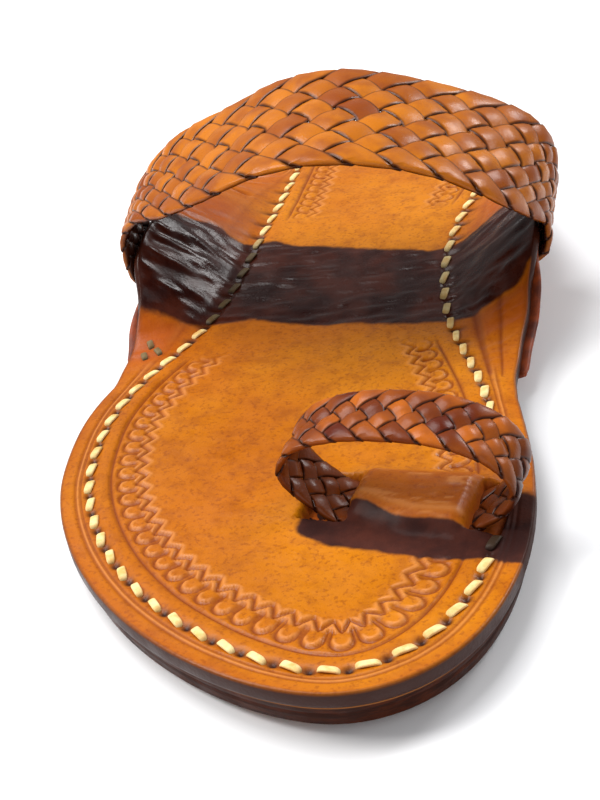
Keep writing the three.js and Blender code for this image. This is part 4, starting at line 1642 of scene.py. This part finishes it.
@dataclass
class Braid:
    """A flat braid of folded ribbons that fills a wall."""

    name: str
    node: str
    slot: str
    wall: Wall
    ribbons: int
    amplitude: float
    thickness: float
    # length of a cell against its width, and how much of it the ribbon covers
    cell: float = 1.04
    cover: float = 1.0
    fold_cover: float = 0.92
    # faces a cell along the ribbon, and faces round it
    per_unit: int = 7
    around: int = 12
    seed: int = 1
    corner_round: float = 0.22
    # the ribbon's section: how square it is, how domed, and how far it leans over a crossing
    square_across: float = 0.45
    square_up: float = 0.75
    crown: float = 0.28
    lean: float = 0.14
    # cells that a ribbon runs past the strap's ends, and cells between two samples of its path
    overrun: float = 1.2
    probe: float = 0.02
    # how dark the painted shade on the low parts is, and the heights between which it darkens
    stain_and_shade: tuple = (0.0, 10.0, 20.0)

    def pace(self) -> tuple:
        """Spaces the weave's cells along the strap, smaller where the strap is narrow.

        Returns:
            Cells travelled at each station, and the share along the strap there.
        """
        middle = self.wall.middle[:, self.wall.middle.shape[1] // 2]
        steps = np.linalg.norm(np.diff(middle, axis=0), axis=1)
        size = (self.wall.width[1:] + self.wall.width[:-1]) / 2 / self.ribbons * self.cell
        cells = np.r_[0.0, np.cumsum(steps / size)]
        return cells, np.linspace(0, 1, len(middle))

    def to_fold(self, q: np.ndarray) -> tuple:
        """Where a ribbon is in its round trip across the strap.

        Args:
            q: Cells travelled.

        Returns:
            Cells since the trip began, and cells to the nearest fold.
        """
        phase = np.mod(q, 2 * self.ribbons)
        return phase, np.minimum(np.abs(phase - self.ribbons),
                                 np.minimum(phase, 2 * self.ribbons - phase))

    def path(self, q: np.ndarray) -> tuple:
        """Column and height of a ribbon's middle line.

        Args:
            q: Cells travelled.

        Returns:
            Column from -1 to 1 at the strap's edges, and height from -1 to 1.
        """
        n = self.ribbons
        phase, turn = self.to_fold(q)
        rounded = np.sqrt(turn ** 2 + self.corner_round ** 2) - self.corner_round * 0.6
        near_far = np.abs(phase - n) < np.minimum(phase, 2 * n - phase)
        column = np.where(near_far, n - rounded, rounded)
        # the weave's phase runs slower through the folds
        beat = np.where(phase <= 1, 0.5 + phase / 2, np.where(
            phase <= n - 1, phase, np.where(phase <= n + 1, n - 1 + (phase - n + 1) / 2,
                                            np.where(phase <= 2 * n - 1, phase - 1,
                                                     2 * n - 2 + (phase - 2 * n + 1) / 2))))
        return column / n * 2 - 1, np.cos(np.pi * beat)

    def build(self, finish: bpy.types.Material) -> bpy.types.Object:
        """Makes the braid.

        Args:
            finish: What it is made of.

        Returns:
            The object.
        """
        cells, shares = self.pace()
        length = cells[-1]
        n = self.ribbons
        sheet = new_sheet("rim", "inner", "tint", "stain_and_shade")
        rng = np.random.default_rng(self.seed)
        all_verts, all_coords = [], []
        values = {"rim": [], "inner": [], "tint": [], "stain_and_shade": []}
        for ribbon in range(n):
            start, end = -self.overrun, length + self.overrun
            steps = int(round((end - start) * self.per_unit))
            made = bmesh.ops.create_grid(
                sheet, x_segments=steps, y_segments=self.around, size=0.5)["verts"]
            params = np.array([(vert.co.x + 0.5, vert.co.y + 0.5) for vert in made])
            tau = start + (end - start) * params[:, 0]
            q = tau - 2 * ribbon
            small = self.probe
            column, beat = self.path(q)
            after, beat_after = self.path(q + small)
            before, beat_before = self.path(q - small)
            unit = self.cell
            # in-plane frame in column widths: x along the strap, y across it
            tx = np.full(len(q), 2 * small * unit)
            ty = (after - before) * n / 2
            tz = (beat_after - beat_before) * self.lean
            flat = smooth(0.9, 0.1, self.to_fold(q)[1])
            px, py = np.abs(ty), -np.sign(ty) * tx
            size = np.hypot(px, py)
            px, py = px / size, py / size
            px, py = px * (1 - flat) + flat, py * (1 - flat)
            size = np.hypot(px, py)
            px, py = px / size, py / size
            # outward direction of the ribbon's face in the (y, z) plane
            nz = px * ty - py * tx
            ny = -px * tz
            size = np.hypot(nz, ny)
            nz, ny = nz / size, ny / size
            turn_round = params[:, 1] * 2 * np.pi
            c, s = np.cos(turn_round), np.sin(turn_round)
            wide = np.sign(c) * np.abs(c) ** self.square_across
            tall = np.sign(s) * np.abs(s) ** self.square_up
            sine = unit / math.hypot(1, unit)
            half = self.cover * (sine * (1 - flat) + unit * self.fold_cover * flat)
            station = np.interp(np.clip(tau, 0, length), cells, shares)
            column_size = np.interp(station, shares, self.wall.width) / n
            # along and across, in columns
            off_x = wide * half * px
            off_y = wide * half * py
            lift = tall * self.thickness / 2 * (1 - self.crown * wide ** 2)
            x = tau + off_x / unit
            # soft stop at the strap's cut ends
            over = np.maximum(x - length, 0) - np.maximum(-x, 0)
            x = np.clip(x, 0, length) + 0.004 * np.tanh(over)
            y = column + off_y * 2 / n + lift * ny / column_size * 2 / n
            scale = 1.0 / (1 - 2 * 0.4 * self.corner_round / n) * (1 - 0.5 / n * 0.2)
            v = np.clip(0.5 + y * scale / 2, 0.0, 1.0)
            u = np.clip(np.interp(x, cells, shares), 0, 1)
            height = beat * self.amplitude + lift * nz
            places = self.wall.at(u, v, height)
            all_coords.append(places)
            # painted shade: the low parts of the strap, such as the ring's legs and the band's
            # ends, darker
            low = smooth(self.stain_and_shade[2], self.stain_and_shade[1], places[:, 2])
            all_verts += list(made)
            # below the strap's middle: the flesh side, painted as shade on the band
            inner = smooth(0.1, -0.5, height)
            # the ribbon's sides darker: cut edges, and painted shade in the gaps
            values["rim"].append(smooth(0.78, 0.98, np.abs(wide)) * 0.97)
            values["inner"].append(inner)
            values["stain_and_shade"].append(self.stain_and_shade[0] * low * (1 - 0.7 * inner))
            tint = rng.uniform(0, 0.65) + 0.45 * value_noise(
                np.column_stack([tau, np.full(len(tau), ribbon * 7.0)]), 2.0, self.seed + 40)
            values["tint"].append(np.clip(tint, 0, 1))
        write_vertices(sheet, all_verts, to_frame(np.vstack(all_coords)),
                       {name: np.concatenate(parts) for name, parts in values.items()})
        seam = [vert for vert in sheet.verts if vert.is_boundary]
        bmesh.ops.remove_doubles(sheet, verts=seam, dist=1e-6)
        ends = [edge for edge in sheet.edges if edge.is_boundary]
        bmesh.ops.holes_fill(sheet, edges=ends, sides=0)
        face_outwards(sheet)
        piece = finish_mesh(sheet, self.name, finish)
        settle(piece, self.slot, self.node)
        return piece


@dataclass
class InstepBand:
    """The woven band over the instep."""

    thickness: float = 2.8
    fibres: int = 13
    # pared ear, gap, backing, gap and the band itself
    seat_depth: float = 2.2 + 0.4 + 1.2 + 0.8 + 2.8
    # heel side, toe side, from, to
    lateral_end: tuple = (100.0, 119.0, 12.0, 23.0)
    medial_end: tuple = (99.5, 119.5, 13.0, 25.5)
    # heel-side across, along, height; toe-side across, along, height
    arch: tuple = (
        (-50.5, 99, 30.5, -49.3, 119, 29.5), (-46.2, 97, 38.8, -44, 122.5, 36.2),
        (-36, 96.5, 47.8, -33.6, 131, 40.8), (-19, 98, 55, -20, 140.5, 48),
        (-6, 99, 60, -7.4, 144.5, 53.6), (8.3, 100, 61.4, 6.5, 146, 55.8),
        (20, 100, 59.2, 20, 145, 53.8), (34.6, 99, 54, 33, 142.8, 49),
        (45.5, 98, 49, 42.5, 140.5, 42.8), (54, 98, 43.6, 48.8, 136, 36.4),
        (58.6, 98.5, 37.2, 53.2, 128, 29.8), (59.4, 99.5, 30, 56.4, 121.5, 24.6),
    )

    def fibre(self, part: float) -> np.ndarray:
        """One lengthwise line of the outer face.

        Args:
            part: Share across the band, from its heel side to its toe side.

        Returns:
            Rows of across, along, height.
        """
        def seat(side: Side, end: tuple, outs: np.ndarray) -> np.ndarray:
            """Three places on the underside of an ear's backing."""
            along = end[0] + (end[1] - end[0]) * part
            return LAST.ear_point(side, np.full(3, along), outs, np.full(3, self.seat_depth))

        rows = np.array(self.arch, dtype=float)
        arch = rows[:, :3] + (rows[:, 3:] - rows[:, :3]) * part
        lateral = seat(Side.LATERAL, self.lateral_end,
                       np.linspace(self.lateral_end[2], self.lateral_end[3], 3))
        medial = seat(Side.MEDIAL, self.medial_end,
                      np.linspace(self.medial_end[3], self.medial_end[2], 3))
        return centripetal(np.vstack([lateral, arch, medial]), 14)

    def wall(self) -> Wall:
        """Lofts the band's outer lines and moves them in to its middle.

        Returns:
            The band's middle surface.
        """
        outer = np.stack([self.fibre(part) for part in np.linspace(0, 1, self.fibres)], 1)
        tangent = np.gradient(outer, axis=0)
        width = np.gradient(outer, axis=1)
        outward = np.cross(width, tangent)
        # the maker's measures are left-handed, so the cross product is turned round
        outward = -outward
        outward /= np.linalg.norm(outward, axis=2, keepdims=True)
        crown = outward[outward.shape[0] // 2, self.fibres // 2]
        if crown[2] < 0:
            outward = -outward
        return Wall(outer - outward * self.thickness / 2, outward)

    def build(self, finish: bpy.types.Material) -> bpy.types.Object:
        """Makes the band.

        Args:
            finish: What it is made of.

        Returns:
            The object.
        """
        return Braid("band_woven", "instep_band", "woven_leather", self.wall(), ribbons=9,
                     amplitude=0.58, thickness=1.15, seed=2,
                     stain_and_shade=(0.4, 24.0, 44.0)).build(finish)


@dataclass
class ToeRing:
    """The woven ring over the big toe."""

    width: float = 13.0
    # the toe side hangs lower than the heel side, by more towards the top
    drop: float = 3.0
    drop_start: float = 11.2
    drop_length: float = 21.95
    # across the ring, and height
    path: tuple = (
        (-6.0, 6.25), (-9.5, 6.25), (-13.2, 6.6), (-16.8, 9.2), (-20.4, 12.4), (-22.6, 17.0),
        (-19.8, 22.8), (-11.5, 26.8), (0, 28.2), (11.0, 27.2), (19.4, 23.0), (22.7, 17.0),
        (21.0, 12.2), (17.4, 9.0), (13.8, 6.6), (9.5, 6.25), (6.0, 6.25),
    )

    def wall(self) -> Wall:
        """Sweeps the ring's width along its path.

        Returns:
            The ring's middle surface.
        """
        line = centripetal(np.array(self.path, dtype=float), 10)
        tangent = np.gradient(line, axis=0)
        tangent /= np.linalg.norm(tangent, axis=1)[:, None]
        normal = np.stack([-tangent[:, 1], tangent[:, 0]], -1)
        forward = np.linspace(-self.width / 2, self.width / 2, 7)
        above = np.clip((line[:, 1] - self.drop_start) / self.drop_length, 0, 1)
        drop = self.drop * above[:, None] * (forward / self.width + 0.5)[None]
        shape = (len(line), len(forward))
        across = np.broadcast_to(line[:, :1], shape)
        ahead = np.broadcast_to(forward[None], shape)
        height = line[:, 1:] - drop
        middle = SEAT.out(across, ahead, height)
        flat = SEAT.out(np.broadcast_to(normal[:, :1], shape), np.zeros(shape),
                        np.broadcast_to(normal[:, 1:], shape))
        outward = flat - np.array([SEAT.across, SEAT.along, 0.0])
        return Wall(middle, outward)

    def build(self, finish: bpy.types.Material) -> bpy.types.Object:
        """Makes the ring.

        Args:
            finish: What it is made of.

        Returns:
            The object.
        """
        return Braid("ring_woven", "toe_ring", "ring_leather", self.wall(), ribbons=5,
                     amplitude=0.48, thickness=0.95, seed=4, per_unit=8,
                     stain_and_shade=(0.75, 15.0, 26.0)).build(finish)


# ---------------------------------------------------------------------------------------------
# Studio
# ---------------------------------------------------------------------------------------------


@dataclass(frozen=True)
class Studio:
    """Pale floor, soft light and the camera."""

    camera_at: tuple = (0.0516, -0.2785, 0.1529)
    looks_at: tuple = (-0.0001, -0.0556, 0.02)
    roll: float = -10.53
    lens: float = 59.27
    floor_colour: tuple = linear(248, 248, 250)
    floor_side: float = 6.0
    room_light: float = 0.36
    aim: tuple = (0.0, 0.0, 0.03)

    def floor(self) -> bpy.types.Object:
        """Lays the floor under the shoe.

        Returns:
            The floor.
        """
        sheet = bmesh.new()
        bmesh.ops.create_grid(sheet, x_segments=1, y_segments=1, size=self.floor_side)
        shader = Shader("floor_finish")
        material = shader.finish(self.floor_colour, 0.85, None, 0.2)
        floor = finish_mesh(sheet, "floor", material, False)
        return floor

    def lamp(self, name: str, at: tuple, size: float, power: float,
             colour: tuple = (1.0, 1.0, 1.0)) -> None:
        """One soft square light that points at the shoe.

        Args:
            name: Name of the light.
            at: Where it hangs.
            size: Length of its side.
            power: Power in watts.
            colour: Its colour.
        """
        data = bpy.data.lights.new(name, "AREA")
        data.size = size
        data.energy = power
        data.color = colour
        lamp = bpy.data.objects.new(name, data)
        lamp.location = at
        aim = Vector(self.aim) - Vector(at)
        lamp.rotation_euler = aim.to_track_quat("-Z", "Y").to_euler()
        bpy.context.scene.collection.objects.link(lamp)

    def lights(self) -> None:
        """Hangs a large light behind, a key on the left, a rim, a fill and a white room."""
        self.lamp("Back light", (-0.35, 0.25, 1.0), 0.6, 9.0)
        self.lamp("Key light", (-0.8, -0.1, 0.8), 0.4, 8.0, (1.0, 0.98, 0.95))
        self.lamp("Right rim", (0.55, 0.6, 0.55), 0.25, 3.0)
        self.lamp("Front fill", (0.5, -0.9, 0.7), 0.8, 2.5, (0.96, 0.98, 1.0))
        world = bpy.data.worlds.new("Room")
        world.use_nodes = True
        background = world.node_tree.nodes["Background"]
        background.inputs["Color"].default_value = (1.0, 1.0, 1.0, 1.0)
        background.inputs["Strength"].default_value = self.room_light
        bpy.context.scene.world = world
        bpy.context.scene.view_settings.view_transform = "Standard"

    def camera(self) -> None:
        """Sets up the camera, rolled a little to the side."""
        data = bpy.data.cameras.new("Camera")
        data.sensor_width = 36.0
        data.lens = self.lens
        data.clip_start = 0.01
        camera = bpy.data.objects.new("Camera", data)
        forward = (Vector(self.looks_at) - Vector(self.camera_at)).normalized()
        turn = forward.to_track_quat("-Z", "Y").to_matrix().to_4x4()
        turn = turn @ Matrix.Rotation(math.radians(self.roll), 4, "Z")
        camera.matrix_world = Matrix.Translation(self.camera_at) @ turn
        bpy.context.scene.collection.objects.link(camera)
        bpy.context.scene.camera = camera


# ---------------------------------------------------------------------------------------------
# The sandal
# ---------------------------------------------------------------------------------------------


class Sandal:
    """Builds every piece of the shoe in order."""

    def build(self) -> None:
        """Makes the finishes and the pieces."""
        sole = SoleFinish().build()
        SoleLayer("sole_heel_lift", "heel_lift", inset=1.3, undercut=0.7,
                  bottom=lambda along: along * 0,
                  top=lambda along: np.minimum(LAST.lift_height,
                                               LAST.underside(along) - LAST.layer_gap),
                  front=LAST.lift_front, slant=LAST.lift_slant,
                  groove_heights=(0.5,)).build(sole)
        SoleLayer("sole_outsole", "outsole", inset=0.7, undercut=0.9, bottom=LAST.underside,
                  top=lambda along: LAST.underside(along) + LAST.outsole_thickness,
                  groove_heights=(0.62,)).build(sole)
        footbed = Footbed()
        footbed.build(FootbedFinish().build())
        ThongStitches(footbed).build(ThongFinish().build())
        backing = PlainFinish("backing_finish", linear(146, 60, 14), linear(88, 32, 10), 0.5)
        leather = backing.build()
        EarBacking(Side.LATERAL, start=68, seat_end=120, end=140).build(leather)
        EarBacking(Side.MEDIAL, start=68, seat_end=120, end=156).build(leather)
        InstepBand().build(WovenFinish("woven_leather_finish", linear(196, 112, 16),
                                       linear(128, 52, 6)).build())
        ToeRing().build(WovenFinish("ring_leather_finish", linear(190, 100, 26),
                                    linear(90, 30, 8),
                                    inside=linear(124, 58, 18)).build())


def main() -> None:
    """Builds the shoe and the studio."""
    logging.basicConfig(level=logging.INFO, format="%(name)s: %(message)s")
    Sandal().build()
    studio = Studio()
    studio.floor()
    studio.lights()
    studio.camera()


if __name__ == "__main__":
    main()
